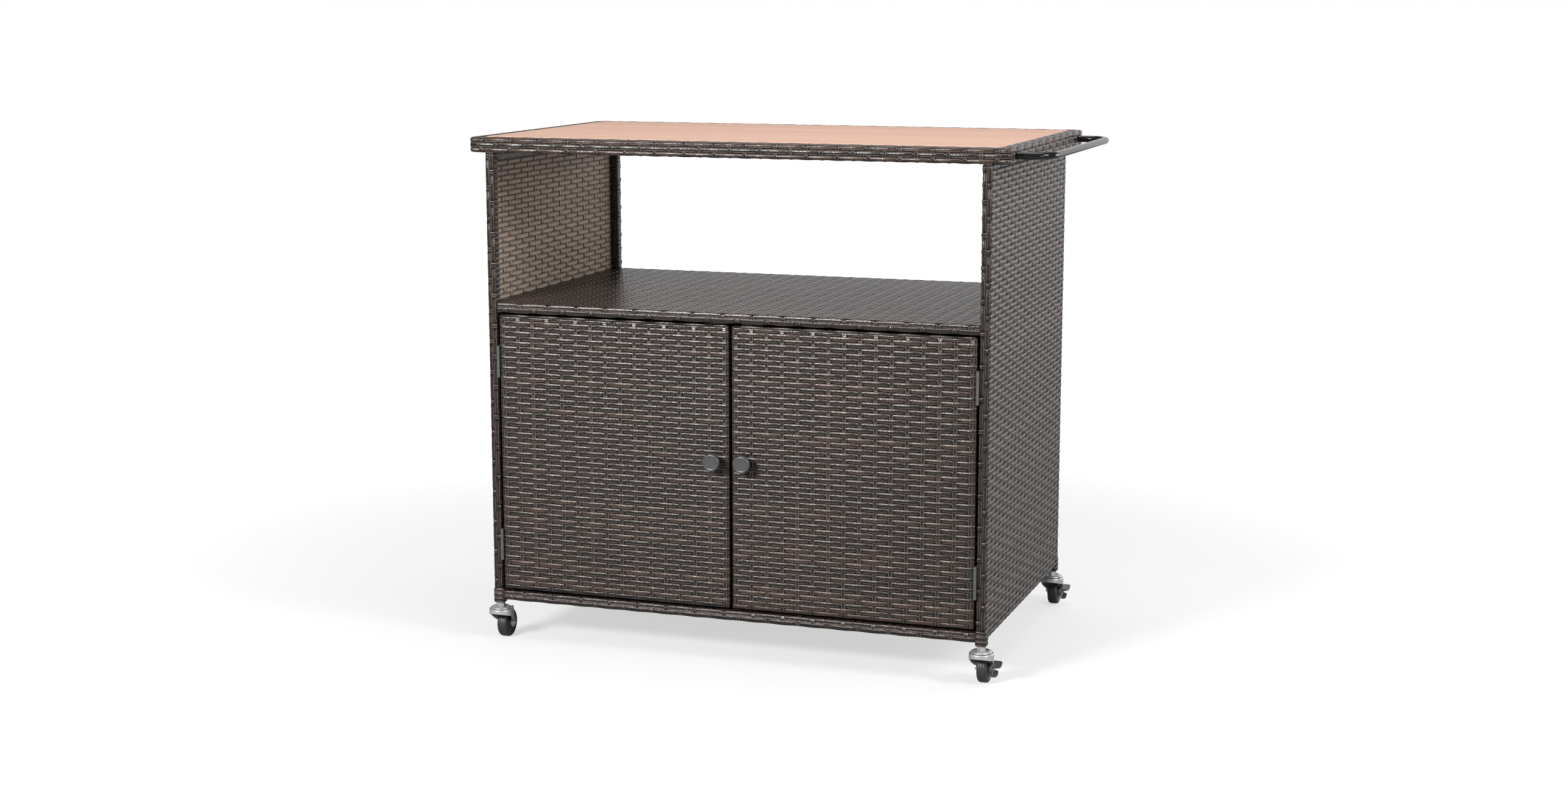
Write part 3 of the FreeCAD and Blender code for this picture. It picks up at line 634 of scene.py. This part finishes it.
def buildSide(side, sign):
    low, high = corners("side_weave_" + side)
    frontY, backY = postLow.y + skin, postHigh.y - skin
    face = (postHigh.x if sign > 0 else postLow.x) - sign * skin
    bottom = low.z + skin
    corner = quarterTurn(fold)
    turn = corner[0]
    run = backY - frontY - 2 * fold
    alongAt, alongMarks, alongLength = makeTrack(frontY, -fold, pi / 2, (corner, (run, 0), corner))
    under = sidePanel["underReach"]
    pieces = ((under, 0), corner, (high.z - bottom - fold, 0))
    acrossAt, _, acrossLength = makeTrack(bottom, -fold - under, pi / 2, pieces)

    def place(along, across, height):
        z, out = acrossAt(across, height)
        y, out = alongAt(along, out)
        return face + sign * out, y, z

    def underPlace(along, across, height):
        z, out = acrossAt(across, height)
        return face + sign * out, frontY + fold + along - turn, z

    bm = startWeave()
    start = under + turn - fold - skin  # the track's distance at the sheet's low edge
    half = rowPitch / 2
    rows = spread(start + half, acrossLength - half, rowPitch)
    cut = turn * (1 - sidePanel["cornerShare"])
    count = sidePanel["crossings"]
    first = turn - fold + (backY - frontY - crossPitch * (count - 1)) / 2
    crossings = series(first, crossPitch, count)
    weaveSheet(bm, place, rows, (cut, alongLength - cut), crossings, (0, acrossLength - sidePanel["topGap"]),
               sidePanel["steps"], alongMarks)
    pitch = rows[1] - rows[0]
    end = turn + sidePanel["underInset"]
    along = stations(end, alongLength - end, first, crossPitch / sidePanel["underSteps"])
    shapes = [wave(first, crossPitch, way) for way in (-1, 1)]
    layStrands(bm, along, [rows[0] - pitch, rows[0] - 2 * pitch], shapes, underPlace)
    wovenPiece("sideWeave_" + side, bm, ["side_weave_" + side])


for side, sign in (("left", -1), ("right", 1)):
    buildSide(side, sign)
print("side panels woven")

deck = {
    "wrapUnder": 6.0,
    "fold": 1.5,
    "crossings": 32,
    "shelfSteps": 4,
    "floorSteps": 3,
    "backSteps": 3,
}
deckCrossings = series(middleX - crossPitch * (deck["crossings"] - 1) / 2, crossPitch, deck["crossings"])


# Shelf and cabinet floor: long rows on top, two rows on the front and back edges
def buildDeck(name, low, high, steps, node):
    top, bottom = high.z - skin, low.z + skin
    radius = deck["fold"]
    corner = quarterTurn(radius)
    rise = top - bottom - 2 * radius
    run = high.y - low.y - 2 * skin - 2 * radius
    under = deck["wrapUnder"]
    pieces = ((under, 0), corner, (rise, 0), corner, (run, 0), corner, (rise, 0), corner, (under, 0))
    turnedPieces = [(length, -turn) for length, turn in pieces]
    at, _, length = makeTrack(high.y - skin - radius - under, bottom, 0, turnedPieces)

    def place(along, across, height):
        y, z = at(across, -height)
        return along, y, z

    bm = startWeave()
    edgeMiddle = under + corner[0] + rise / 2
    half = rowPitch / 2
    rows = spread(edgeMiddle + half, length - edgeMiddle - half, rowPitch)
    pitch = rows[1] - rows[0]
    rows = [rows[0] - pitch] + rows + [rows[-1] + pitch]
    weaveSheet(bm, place, rows, (low.x, high.x), deckCrossings, (0, length), steps)
    wovenPiece(name, bm, [node])


buildDeck("shelfWeave", shelfLow, shelfHigh, deck["shelfSteps"], "shelf_weave")
buildDeck("floorWeave", floorLow, floorHigh, deck["floorSteps"], "floor_weave")
print("shelf and floor woven")


def buildBack():
    low, high = corners("back_weave")
    face = high.y - skin
    bm = startWeave()
    half = rowPitch / 2

    def place(along, across, height):
        return along, face + height, across

    rows = spread(low.z + half, high.z - half, rowPitch)
    weaveSheet(bm, place, rows, (low.x, high.x), deckCrossings, (low.z, high.z), deck["backSteps"])
    wovenPiece("backWeave", bm, ["back_weave"])


buildBack()
print("back woven")

post = {
    "size": 17.6,
    "topGap": 0.6,
    "columns": (12.9, 4.9),  # middles of the two upright strands, from the inner face
    "columnHalfWidth": 3.85,
    "columnSharpness": 2.0,
    "rungTop": 866.0,
    "rungPitch": 27.0,
    "rungHalfWidth": 3.8,
    "rungRoom": 4.0,  # over the foot
    "rungEnds": (0.6, 2.6),  # left free at the inner and the outer face
    "rungStep": 2.0,
    "rungSteepness": 3.0,
    "wrapRoom": (3.0, 4.0),  # under the first wrap and over the last one
    "wrapStart": 0.4,  # share of the first corner that a wrap leaves out
    "wrapStep": 4.0,
    "wrapLift": 0.7,  # as a share of a strand's lift, once it is round the corner
    "wrapRise": 2.0,
    "innerReach": 11.0,
    "innerColumns": (2.9, 7.7),  # from the turn onto the inner end
    "innerColumnHalfWidth": 2.3,
    "innerColumnReach": 2.0,
    "footRings": (74.3, 82.7, 91.2),
    "footHalfWidth": 4.9,
    "footProud": 1.3,
    "footCorner": 4.0,
    "footStep": 6.0,
    "footLift": 0.2,
}
footTop = post["footRings"][-1] + strand["halfWidth"]
postTop = postHigh.z - post["topGap"]


# Two signs pick a post. The values are the X of its inner face and the Y of its outer sheet
def postFaces(sideSign, endSign):
    innerX = middleX + sideSign * ((postHigh.x - postLow.x) / 2 - post["size"])
    return innerX, middleY + endSign * ((postHigh.y - postLow.y) / 2 - skin)


# Two upright strands with rungs on the outer end of a post
def addLadder(bm, sideSign, endSign):
    innerX, outY = postFaces(sideSign, endSign)

    # up, and from the inner face outwards
    def place(up, across, height):
        return innerX + sideSign * across, outY + endSign * height, up

    # the -X column has the first rung on both posts of an end
    columns = post["columns"] if sideSign < 0 else post["columns"][::-1]
    top, pitch = post["rungTop"], post["rungPitch"]
    shapes = [wave(top, pitch, sign, post["columnSharpness"]) for sign in (-1, 1)]
    places = stations(footTop, postTop, top, pitch / 4)
    layStrands(bm, places, columns, shapes, place, post["columnHalfWidth"])
    middle = sum(columns) / 2
    swing = (columns[0] - columns[1]) / post["rungSteepness"]
    shapes = [lambda a, s=s: s * strand["lift"] * clamp((a - middle) / swing) for s in (1, -1)]
    rungs = series(top, -pitch, ceil((top - footTop - post["rungRoom"]) / pitch))
    inner, outer = post["rungEnds"]
    places = spread(inner, post["size"] - outer, post["rungStep"])
    layStrands(bm, places, rungs, shapes, turned(place), post["rungHalfWidth"])


# Wraps on the inner faces of a post, and two narrow uprights over them on its inner end
def addWraps(bm, sideSign, endSign):
    innerX, outY = postFaces(sideSign, endSign)
    corner = quarterTurn(fold)
    reach = post["innerReach"]
    pieces = (corner, (post["size"] - 2 * skin - 2 * fold, 0), corner, (reach, 0))
    at, marks, length = makeTrack(0, -fold, pi / 2, pieces)

    def place(along, up, height):
        y, out = at(along, height)
        return innerX + sideSign * (skin - out), outY - endSign * y, up

    innerEnd = length - reach
    lift = strand["lift"] * post["wrapLift"]
    under, over = post["wrapRoom"]
    levels = spread(footTop + under, postTop - over, rowPitch)
    places = stations(corner[0] * post["wrapStart"], length, 0, post["wrapStep"], marks)
    shapes = [lambda a, s=s: s * lift * clamp((a - innerEnd) / post["wrapRise"], 0) for s in (1, -1)]
    layStrands(bm, places, levels, shapes, place)
    pitch = levels[1] - levels[0]
    past = post["innerColumnReach"]
    places = crossStations(levels[0] - past, levels[-1] + past, levels[0], pitch)
    columns = [innerEnd + shift for shift in post["innerColumns"]]
    shapes = [crossWave(levels[0], pitch, -1)]
    layStrands(bm, places, columns, shapes, turned(place), post["innerColumnHalfWidth"])


# Rings round the foot of a post
def addRings(bm, sideSign, endSign):
    innerX, outY = postFaces(sideSign, endSign)
    centreX = innerX + sideSign * post["size"] / 2
    centreY = outY + endSign * (skin - post["size"] / 2)
    half = post["size"] / 2 - skin + post["footProud"]
    run = 2 * (half - post["footCorner"])
    corner = quarterTurn(post["footCorner"])
    pieces = ((run / 2, 0),) + (corner, (run, 0)) * 3 + (corner, (run / 2, 0))
    at, marks, length = makeTrack(0, half, 0, pieces)

    def place(along, up, height):
        x, y = at(along, height)
        return centreX + x, centreY - endSign * y, up

    places = stations(0, length, 0, post["footStep"], marks)
    shapes = [lambda a: 0.0, lambda a: post["footLift"]]
    layStrands(bm, places, post["footRings"], shapes, place, post["footHalfWidth"])


def buildPosts():
    bm = startWeave()
    for sideSign in (-1, 1):
        for endSign in (-1, 1):
            addLadder(bm, sideSign, endSign)
            addWraps(bm, sideSign, endSign)
            addRings(bm, sideSign, endSign)
    wovenPiece("postStrands", bm, ["post_wraps"])


buildPosts()
print("posts wrapped")

border = {
    "sink": 1.7,  # from the border's top face down to the middle of its strands
    "edgeFold": 2.4,
    "corner": 7.0,
    "leastTurn": 0.6,  # the smallest radius that a row turns with at a corner
    "innerRow": 17.0,  # from the table's side to the row beside the board
    "innerHalfWidth": 4.5,
    "longGap": 8.0,  # from the corner to the end of an inner row, on the front and back
    "shortGap": 5.0,  # on the sides, from the inner row of the front
    "steps": 4,
    "tolerance": 0.1,
}
borderX = (tableHigh.x - tableLow.x) / 2 - skin
borderY = (tableHigh.y - tableLow.y) / 2 - skin
borderLow = tableLow.z + skin
borderHigh = tableHigh.z - border["sink"]
borderPitch = (tableHigh.z - tableLow.z) / 3
straightX = borderX - border["corner"]
straightY = borderY - border["corner"]


# From the board over the edge to the underside. It gives a place outwards from the edge, and its level
def borderTrack():
    radius = border["edgeFold"]
    corner = quarterTurn(radius)
    flat = border["innerRow"] + border["innerHalfWidth"] - radius
    pieces = ((flat, 0), corner, (borderHigh - borderLow - 2 * radius, 0), corner, (flat, 0))
    at, _, length = makeTrack(-flat - radius, borderHigh, 0, pieces)
    return at, length, series(length / 2 - 2 * borderPitch, borderPitch, 5)


# How many crossings a place on the edge is from the middle of its side
def rowPhase(x, y):
    if abs(y) > straightY + border["tolerance"]:
        return x / crossPitch
    return y / crossPitch - 0.5


def rowSign(x, y):
    return -1 if round(rowPhase(x, y)) % 2 else 1


# Rows that go once round the edge, from the middle of the back
def addBorderRows(bm, at, loops):
    turn = quarterTurn(border["corner"])
    longRun, shortRun = (2 * straightX, 0), (2 * straightY, 0)
    plan = ((straightX, 0), turn, shortRun, turn, longRun, turn, shortRun, turn, (straightX, 0))
    planAt, planMarks, planLength = makeTrack(0, borderY, 0, plan)

    def place(along, across, height):
        out, up = at(across, height)
        x, y = planAt(along, max(out, border["leastTurn"] - border["corner"]))
        return middleX + x, middleY + y, up

    def rise(along):
        x, y = planAt(along, 0)
        if abs(x) > straightX + border["tolerance"] and abs(y) > straightY + border["tolerance"]:
            return 0.0
        return bend(rowPhase(x, y))

    places = stations(0, planLength, 0, crossPitch / border["steps"], planMarks)
    layStrands(bm, places, loops, [lambda along: -rise(along), rise], place)


# Places on the border's top face, or on its underside with way -1
def facePlace(plan, level, way):
    def place(along, across, height):
        x, y = plan(along, -across)
        return middleX + x, middleY + y, level + way * height

    return place


# Cross strands on each side, and an inner row on the top and under it
def addBorderCrossings(bm, at, length, loops):
    inner = border["innerRow"]
    longGap, shortGap = border["longGap"], inner + border["shortGap"]
    # half of the straight length, plan, first crossing as a share of the pitch, gap of the inner row
    sides = (
        (straightX, lambda along, out: (along, -borderY - out), 0.0, longGap),
        (straightX, lambda along, out: (-along, borderY + out), 0.0, longGap),
        (straightY, lambda along, out: (-borderX - out, -along), 0.5, shortGap),
        (straightY, lambda along, out: (borderX + out, along), 0.5, shortGap),
    )
    for half, plan, offset, gap in sides:
        def place(across, along, height):
            out, up = at(across, height)
            x, y = plan(along, out)
            return middleX + x, middleY + y, up

        count = floor(half / crossPitch - offset)
        fewer = count + ceil(offset)
        crossings = series((offset - fewer) * crossPitch, crossPitch, fewer + count + 1)
        shapes = [crossWave(loops[0], borderPitch, rowSign(*plan(along, 0))) for along in crossings]
        places = crossStations(0, length, loops[0], borderPitch)
        layStrands(bm, places, crossings, shapes, place, strand["crossHalfWidth"])
        end = half + border["corner"] - gap
        first = offset * crossPitch
        places = stations(-end, end, first, crossPitch / border["steps"])
        shapes = [wave(first, crossPitch, 1)]
        for level, way in ((borderHigh, 1), (borderLow, -1)):
            layStrands(bm, places, [inner], shapes, facePlace(plan, level, way), border["innerHalfWidth"])


def buildBorder():
    bm = startWeave()
    at, length, loops = borderTrack()
    addBorderRows(bm, at, loops)
    addBorderCrossings(bm, at, length, loops)
    wovenPiece("borderWeave", bm, ["tabletop_border"])


buildBorder()

lace = {
    # the middle of each cross tube that shows, and how far a wrap goes over its top
    "levels": ((602.4, 8.0), (864.9, 0.5)),
    "reach": 8.0,  # and under it
    "tube": 15.0,
    "corner": 2.5,
    "proud": 0.6,
    "endInset": 22.0,
    "pitch": 9.0,
    "slant": 0.3,  # how far a wrap leans along the tube, as a share of its way round
    "halfWidth": 4.4,
    "step": 6.0,
}


# Slanted wraps round the cross tubes of the sides, on the faces that look inwards
def buildLaces():
    bm = startWeave()
    radius = lace["corner"]
    corner = (radius * pi / 2, pi / 2)
    flat = lace["tube"] + 2 * lace["proud"] - 2 * radius
    start = lace["proud"] - radius - lace["reach"]
    wraps = spread(postLow.y + lace["endInset"], postHigh.y - lace["endInset"], lace["pitch"])
    for side, sign in (("left", -1), ("right", 1)):
        tubeLow, tubeHigh = corners("side_frame_" + side)
        innerX = tubeHigh.x if sign < 0 else tubeLow.x
        for level, upper in lace["levels"]:
            pieces = ((lace["reach"], 0), corner, (flat, 0), corner, (upper, 0))
            at, marks, length = makeTrack(start, -lace["tube"] / 2 - lace["proud"], 0, pieces)

            def place(along, across, height):
                out, up = at(along, -height)
                return innerX - sign * out, across + lace["slant"] * (along - length / 2), level + up

            places = stations(0, length, 0, lace["step"], marks)
            layStrands(bm, places, wraps, [lambda a: 0.0], place, lace["halfWidth"])
    wovenPiece("tubeLaces", bm)


buildLaces()
print("border woven")

bodyOf = {node: body for body, nodes in frame["record"]["behaviour"]["bodies"].items() for node in nodes}

# Finish, its slot, the width of the soft edges, and how the names of the CAD nodes start
hardPieces = (
    ("handleCoat", "handle_coat", 0.3, ("push_handle",)),
    ("brightSteel", "bright_steel", 0.3, ("knob_screw",)),
    ("brightSteel", "bright_steel", 0.25, ("strike_plate",)),
    ("brightSteel", "bright_steel", 0.35, ("caster_axle",)),
    ("hingeSteel", "hinge_steel", 0.3, ("hinge_frame_leaf", "hinge_door_leaf")),
    ("catchPlastic", "catch_plastic", 1.0, ("magnetic_catch",)),
    ("magnetFinish", "magnet", 0.4, ("catch_magnets",)),
    ("frameCoat", "frame_coat", 1.8, ("side_frame", "shelf_frame", "floor_frame", "back_frame",
                                      "tabletop_frame", "door_frame")),
)
# Lengths in millimetres, angles in radians
hardEdges = {
    "merge": 0.02,
    "flatAngle": 0.02,  # faces that meet at less become one
    "sharpAngle": 0.6,  # an edge with more gets a bevel
    "segments": 2,
    "turnedMerge": 0.005,
    "turnedSharpAngle": 0.9,
}


def camelName(node):
    first, *rest = node.split("_")
    return first + "".join(word.capitalize() for word in rest)


def mergedCopy(node):
    bm = bmesh.new()
    bm.from_mesh(frame["nodes"][node].data)
    bmesh.ops.remove_doubles(bm, verts=bm.verts[:], dist=hardEdges["merge"] * mm)
    bmesh.ops.dissolve_limit(bm, angle_limit=hardEdges["flatAngle"], verts=bm.verts[:], edges=bm.edges[:])
    return bm


def smoothEdges(bm, sharp):
    for edge in bm.edges:
        edge.smooth = edge.is_manifold and edge.calc_face_angle() < sharp


# A CAD node's shape with soft edges that catch the light
def softPiece(bm, node, finishes, width):
    sharp = hardEdges["sharpAngle"]
    smoothEdges(bm, sharp)
    materials = [hardMaterials[name] for name in finishes]
    piece = newPiece(camelName(node), bm, materials, bodyOf[node], [node])
    bevel = piece.modifiers.new("softEdge", "BEVEL")
    bevel.width = width * mm
    bevel.segments = hardEdges["segments"]
    bevel.limit_method = "ANGLE"
    bevel.angle_limit = sharp
    bevel.harden_normals = True


for finish, slot, width, prefixes in hardPieces:
    for node in [name for prefix in prefixes for name in frame["nodes"] if name.startswith(prefix)]:
        softPiece(mergedCopy(node), node, [finish], width)
boardMesh = frame["nodes"]["worktop_board"].data
boardMesh.materials.clear()
boardMesh.materials.append(boardWood)
print("metal and wood dressed")


# A profile turned about an axis. Each point is a distance from the axis and a place along it
def turnProfile(profile, centre, axis, steps):
    bm = bmesh.new()
    centre = centre * mm
    axis = Vector(axis)
    side = axis.orthogonal().normalized()
    verts = [bm.verts.new(centre + side * (radius * mm) + axis * (along * mm)) for radius, along in profile]
    edges = [bm.edges.new(pair) for pair in zip(verts, verts[1:])]
    bmesh.ops.spin(bm, geom=verts + edges, cent=centre, axis=axis, angle=2 * pi, steps=steps, use_merge=True)
    bmesh.ops.remove_doubles(bm, verts=bm.verts[:], dist=hardEdges["turnedMerge"] * mm)
    bmesh.ops.recalc_face_normals(bm, faces=bm.faces[:])
    smoothEdges(bm, hardEdges["turnedSharpAngle"])
    return bm


knob = {
    "steps": 48,
    # from the middle of the face to the seat on the door
    "profile": (
        (0, 0.5), (10.0, 0.5), (10.9, 0.4), (11.7, 0.0), (12.6, -0.1), (13.8, 0.3), (14.8, 1.2), (15.4, 2.4),
        (15.5, 3.6), (15.5, 5.6), (15.0, 6.7), (14.0, 7.5), (12.0, 7.9), (7.0, 8.8), (5.2, 10.2), (4.5, 12.4),
        (4.4, 17.0), (4.7, 21.0), (5.2, 23.4), (5.5, 25.0), (0, 25.0)),
}
for side in ("left", "right"):
    node = "door_knob_" + side
    low, high = corners(node)
    centre = (low + high) / 2
    centre.y = low.y
    bm = turnProfile(knob["profile"], centre, (0, 1, 0), knob["steps"])
    newPiece("doorKnob_" + side, bm, [hardMaterials["knobMetal"]], "door_" + side, [node])
print("knobs turned")

wheel = {
    "steps": 56,
    # half of the wheel, from the bore over the hub and the side to the middle of the tread
    "half": (
        (2.75, 10.9), (7.6, 10.9), (8.4, 10.5), (8.9, 9.6), (9.4, 8.0), (10.6, 7.5), (18.0, 7.3), (19.2, 7.7),
        (19.9, 8.7), (21.0, 9.0), (22.6, 8.8), (23.9, 8.1), (24.8, 6.9), (25.25, 5.5), (25.4, 4.2),
        (25.4, 3.1), (25.3, 2.9), (25.0, 2.75), (25.0, 2.45), (25.3, 2.3), (25.4, 2.1), (25.4, 0.7)),
}
otherHalf = tuple((radius, -along) for radius, along in reversed(wheel["half"]))
wheelProfile = wheel["half"] + otherHalf + wheel["half"][:1]
for corner in ("front_left", "front_right", "back_left", "back_right"):
    node = "caster_wheel_" + corner
    low, high = corners(node)
    bm = turnProfile(wheelProfile, (low + high) / 2, (1, 0, 0), wheel["steps"])
    newPiece(camelName(node), bm, [hardMaterials["wheelRubber"]], bodyOf[node], [node])
print("wheels turned")

caster = {
    "steps": 48,
    "forkTop": 57.5,
    "forkRound": 1.6,  # turned edge round the top of the fork
    "forkRoundSegments": 4,
    "forkAxis": 21.0,  # from the front of the fork to the king pin
    "forkHole": 12.0,  # an edge nearer to the king pin isn't turned
    "forkCorner": 0.5,  # nor is one with a smaller angle
    "nutAcross": 14.0,
    "nutLow": 59.3,
    "postFoot": 70.0,
    "plugSize": 12.6,
    "pedalSlope": 0.6,  # how far a pedal leans, as a share of its depth
    "pedalThickness": 2.5,
    "softWidths": {"stem": 0.5, "fork": 0.35, "brake": 0.4},
    # pressed cap and king pin: distance from the axis, and height over the fork's top
    "cap": (
        (0, -4.6), (6.6, -4.6), (7.4, -4.0), (7.5, -2.1), (4.0, -1.9), (4.0, 0.9), (17.4, 0.9), (18.1, 1.1),
        (18.3, 1.8), (18.0, 2.6), (17.0, 3.2), (15.6, 3.9), (14.4, 4.6), (13.2, 4.8), (12.0, 4.4),
        (11.0, 3.5), (9.8, 2.6), (8.2, 2.2), (0, 2.2)),
}


# Cap with its rolled rim, king pin, hexagon nut, and the plug in the post
def buildStem(node):
    low, high = corners(node)
    centre = (low + high) / 2
    centre.z = caster["forkTop"]
    bm = turnProfile(caster["cap"], centre, (0, 0, 1), caster["steps"])
    foot = caster["postFoot"]
    tall = foot - caster["nutLow"]
    wide = caster["nutAcross"] * mm / sqrt(3)
    nut = bmesh.ops.create_cone(bm, cap_ends=True, segments=6, radius1=wide, radius2=wide, depth=tall * mm)
    centre.z = foot - tall / 2
    bmesh.ops.translate(bm, verts=nut["verts"], vec=centre * mm)
    tall = high.z - foot
    plug = bmesh.ops.create_cube(bm, size=caster["plugSize"] * mm)
    bmesh.ops.scale(bm, verts=plug["verts"], vec=(1, 1, tall / caster["plugSize"]))
    centre.z = foot + tall / 2
    bmesh.ops.translate(bm, verts=plug["verts"], vec=centre * mm)
    softPiece(bm, node, ["casterZinc"], caster["softWidths"]["stem"])


# The fork's top edge is turned over all round
def buildFork(node):
    bm = mergedCopy(node)
    low, high = corners(node)
    pin = Vector(((low.x + high.x) / 2, low.y + caster["forkAxis"], high.z)) * mm
    outer = []
    for edge in bm.edges:
        onTop = all(vert.co.z > (high.z - 0.1) * mm for vert in edge.verts)
        away = (edge.verts[0].co - pin).length
        if onTop and away > caster["forkHole"] * mm and edge.calc_face_angle() > caster["forkCorner"]:
            outer.append(edge)
    bmesh.ops.bevel(bm, geom=outer, offset=caster["forkRound"] * mm, segments=caster["forkRoundSegments"],
                    affect="EDGES", profile=0.5, material=-1)
    softPiece(bm, node, ["casterZinc"], caster["softWidths"]["fork"])


# Both pedals lean towards the front of the caster, and the web between them is bare steel
def buildBrake(node):
    bm = mergedCopy(node)
    low, high = corners(node)
    slope = caster["pedalSlope"]
    lowPedal = low.z + caster["pedalThickness"]
    highPedal = high.z - caster["pedalThickness"]
    for face in bm.faces:
        if all(lowPedal < vert.co.z / mm < highPedal for vert in face.verts) or abs(face.normal.x) > 0.5:
            face.material_index = 1
    for vert in bm.verts:
        point = vert.co / mm
        if point.z > highPedal:
            vert.co.z -= slope * (high.y - point.y) * mm
        elif point.z < lowPedal:
            vert.co.z += slope * (point.y - low.y) * mm
    softPiece(bm, node, ["brakeCoat", "casterZinc"], caster["softWidths"]["brake"])


casterBuilders = {"caster_stem": buildStem, "caster_fork": buildFork, "caster_brake": buildBrake}
for node in list(frame["nodes"]):
    for prefix, build in casterBuilders.items():
        if node.startswith(prefix):
            build(node)
print("casters finished")

studio = {
    "floorSize": 400.0,
    "floorColour": (0.36, 0.36, 0.36, 1),
    "floorRoughness": 0.9,
    "floorSpecular": 0.1,
    "skyColour": (1.0, 1.0, 1.0, 1),
    "skyStrength": 0.15,  # what lights the cart
    "backdrop": 1.0,  # what the camera sees past the floor
    "floorGlow": (0.6, 1.0),  # for the camera alone, near the cart and far from it
    "glowReach": (0.9, 2.6),
    "camera": (1.314159, -3.920441, 1.137870),
    "yaw": 0.331195,  # turned towards -X, in radians
    "pitch": 0.172209,  # down, in radians
    "lens": 53.05,
    "sensor": 36.0,
    # name, place, aim, size, power
    "lamps": (
        ("keyLamp", (-1.25, -3.3, 1.9), (0, 0, 0.5), (0.9, 0.6), 148),
        ("rightLamp", (3.0, -1.0, 2.1), (0, 0, 0.5), (0.9, 0.9), 58),
        ("rightFrontLamp", (2.8, -2.2, 0.9), (-0.2, 0, 0.6), (0.8, 0.8), 13),
        ("rightBackLamp", (2.9, 2.3, 1.1), (-0.3, 0, 0.7), (1.4, 1.2), 39),
        ("backLamp", (0.6, 4.6, 1.5), (0.2, 0, 0.8), (7.0, 3.0), 49),
        ("topLamp", (0.2, 0.2, 3.2), (0, 0, 0.4), (2.4, 1.6), 36),
    ),
}


def buildFloor():
    bm = bmesh.new()
    bmesh.ops.create_grid(bm, x_segments=4, y_segments=4, size=studio["floorSize"] / 2)
    material, tree, shader = newMaterial("studioFloor")
    seen = addNode(tree, "LightPath")["Is Camera Ray"]
    away = addNode(tree, "VectorMath", {0: objectPlace(tree)}, operation="LENGTH")["Value"]
    glow = ramp(tree, away, *studio["glowReach"], *studio["floorGlow"], way="SMOOTHSTEP")
    setInputs(tree, shader, {
        "Base Color": studio["floorColour"],
        "Roughness": studio["floorRoughness"],
        "Specular IOR Level": studio["floorSpecular"],
        "Emission Color": (1, 1, 1, 1),
        "Emission Strength": times(tree, seen, glow),
    })
    studioFloor = newObject("studioFloor", bm, [material])


def buildSky():
    world = bpy.data.worlds.new("studio")
    bpy.context.scene.world = world
    world.use_nodes = True
    tree = world.node_tree
    seen = addNode(tree, "LightPath")["Is Camera Ray"]
    strength = ramp(tree, seen, 0.0, 1.0, studio["skyStrength"], studio["backdrop"])
    setInputs(tree, tree.nodes["Background"], {0: studio["skyColour"], 1: strength})


def buildLamps():
    for name, place, aim, size, power in studio["lamps"]:
        light = bpy.data.lights.new(name, "AREA")
        light.shape = "RECTANGLE"
        light.size, light.size_y = size
        light.energy = power
        lamp = bpy.data.objects.new(name, light)
        lamp.location = place
        lamp.visible_camera = False
        lamp.rotation_euler = (Vector(aim) - Vector(place)).to_track_quat("-Z", "Y").to_euler()
        bpy.context.scene.collection.objects.link(lamp)


def buildCamera():
    camera = bpy.data.objects.new("camera", bpy.data.cameras.new("camera"))
    camera.location = studio["camera"]
    camera.rotation_euler = (pi / 2 - studio["pitch"], 0, studio["yaw"])
    camera.data.sensor_fit = "HORIZONTAL"
    camera.data.sensor_width = studio["sensor"]
    camera.data.lens = studio["lens"]
    bpy.context.scene.collection.objects.link(camera)
    bpy.context.scene.camera = camera
    bpy.context.scene.view_settings.view_transform = "Standard"


buildFloor()
buildSky()
buildLamps()
buildCamera()
print("studio set")
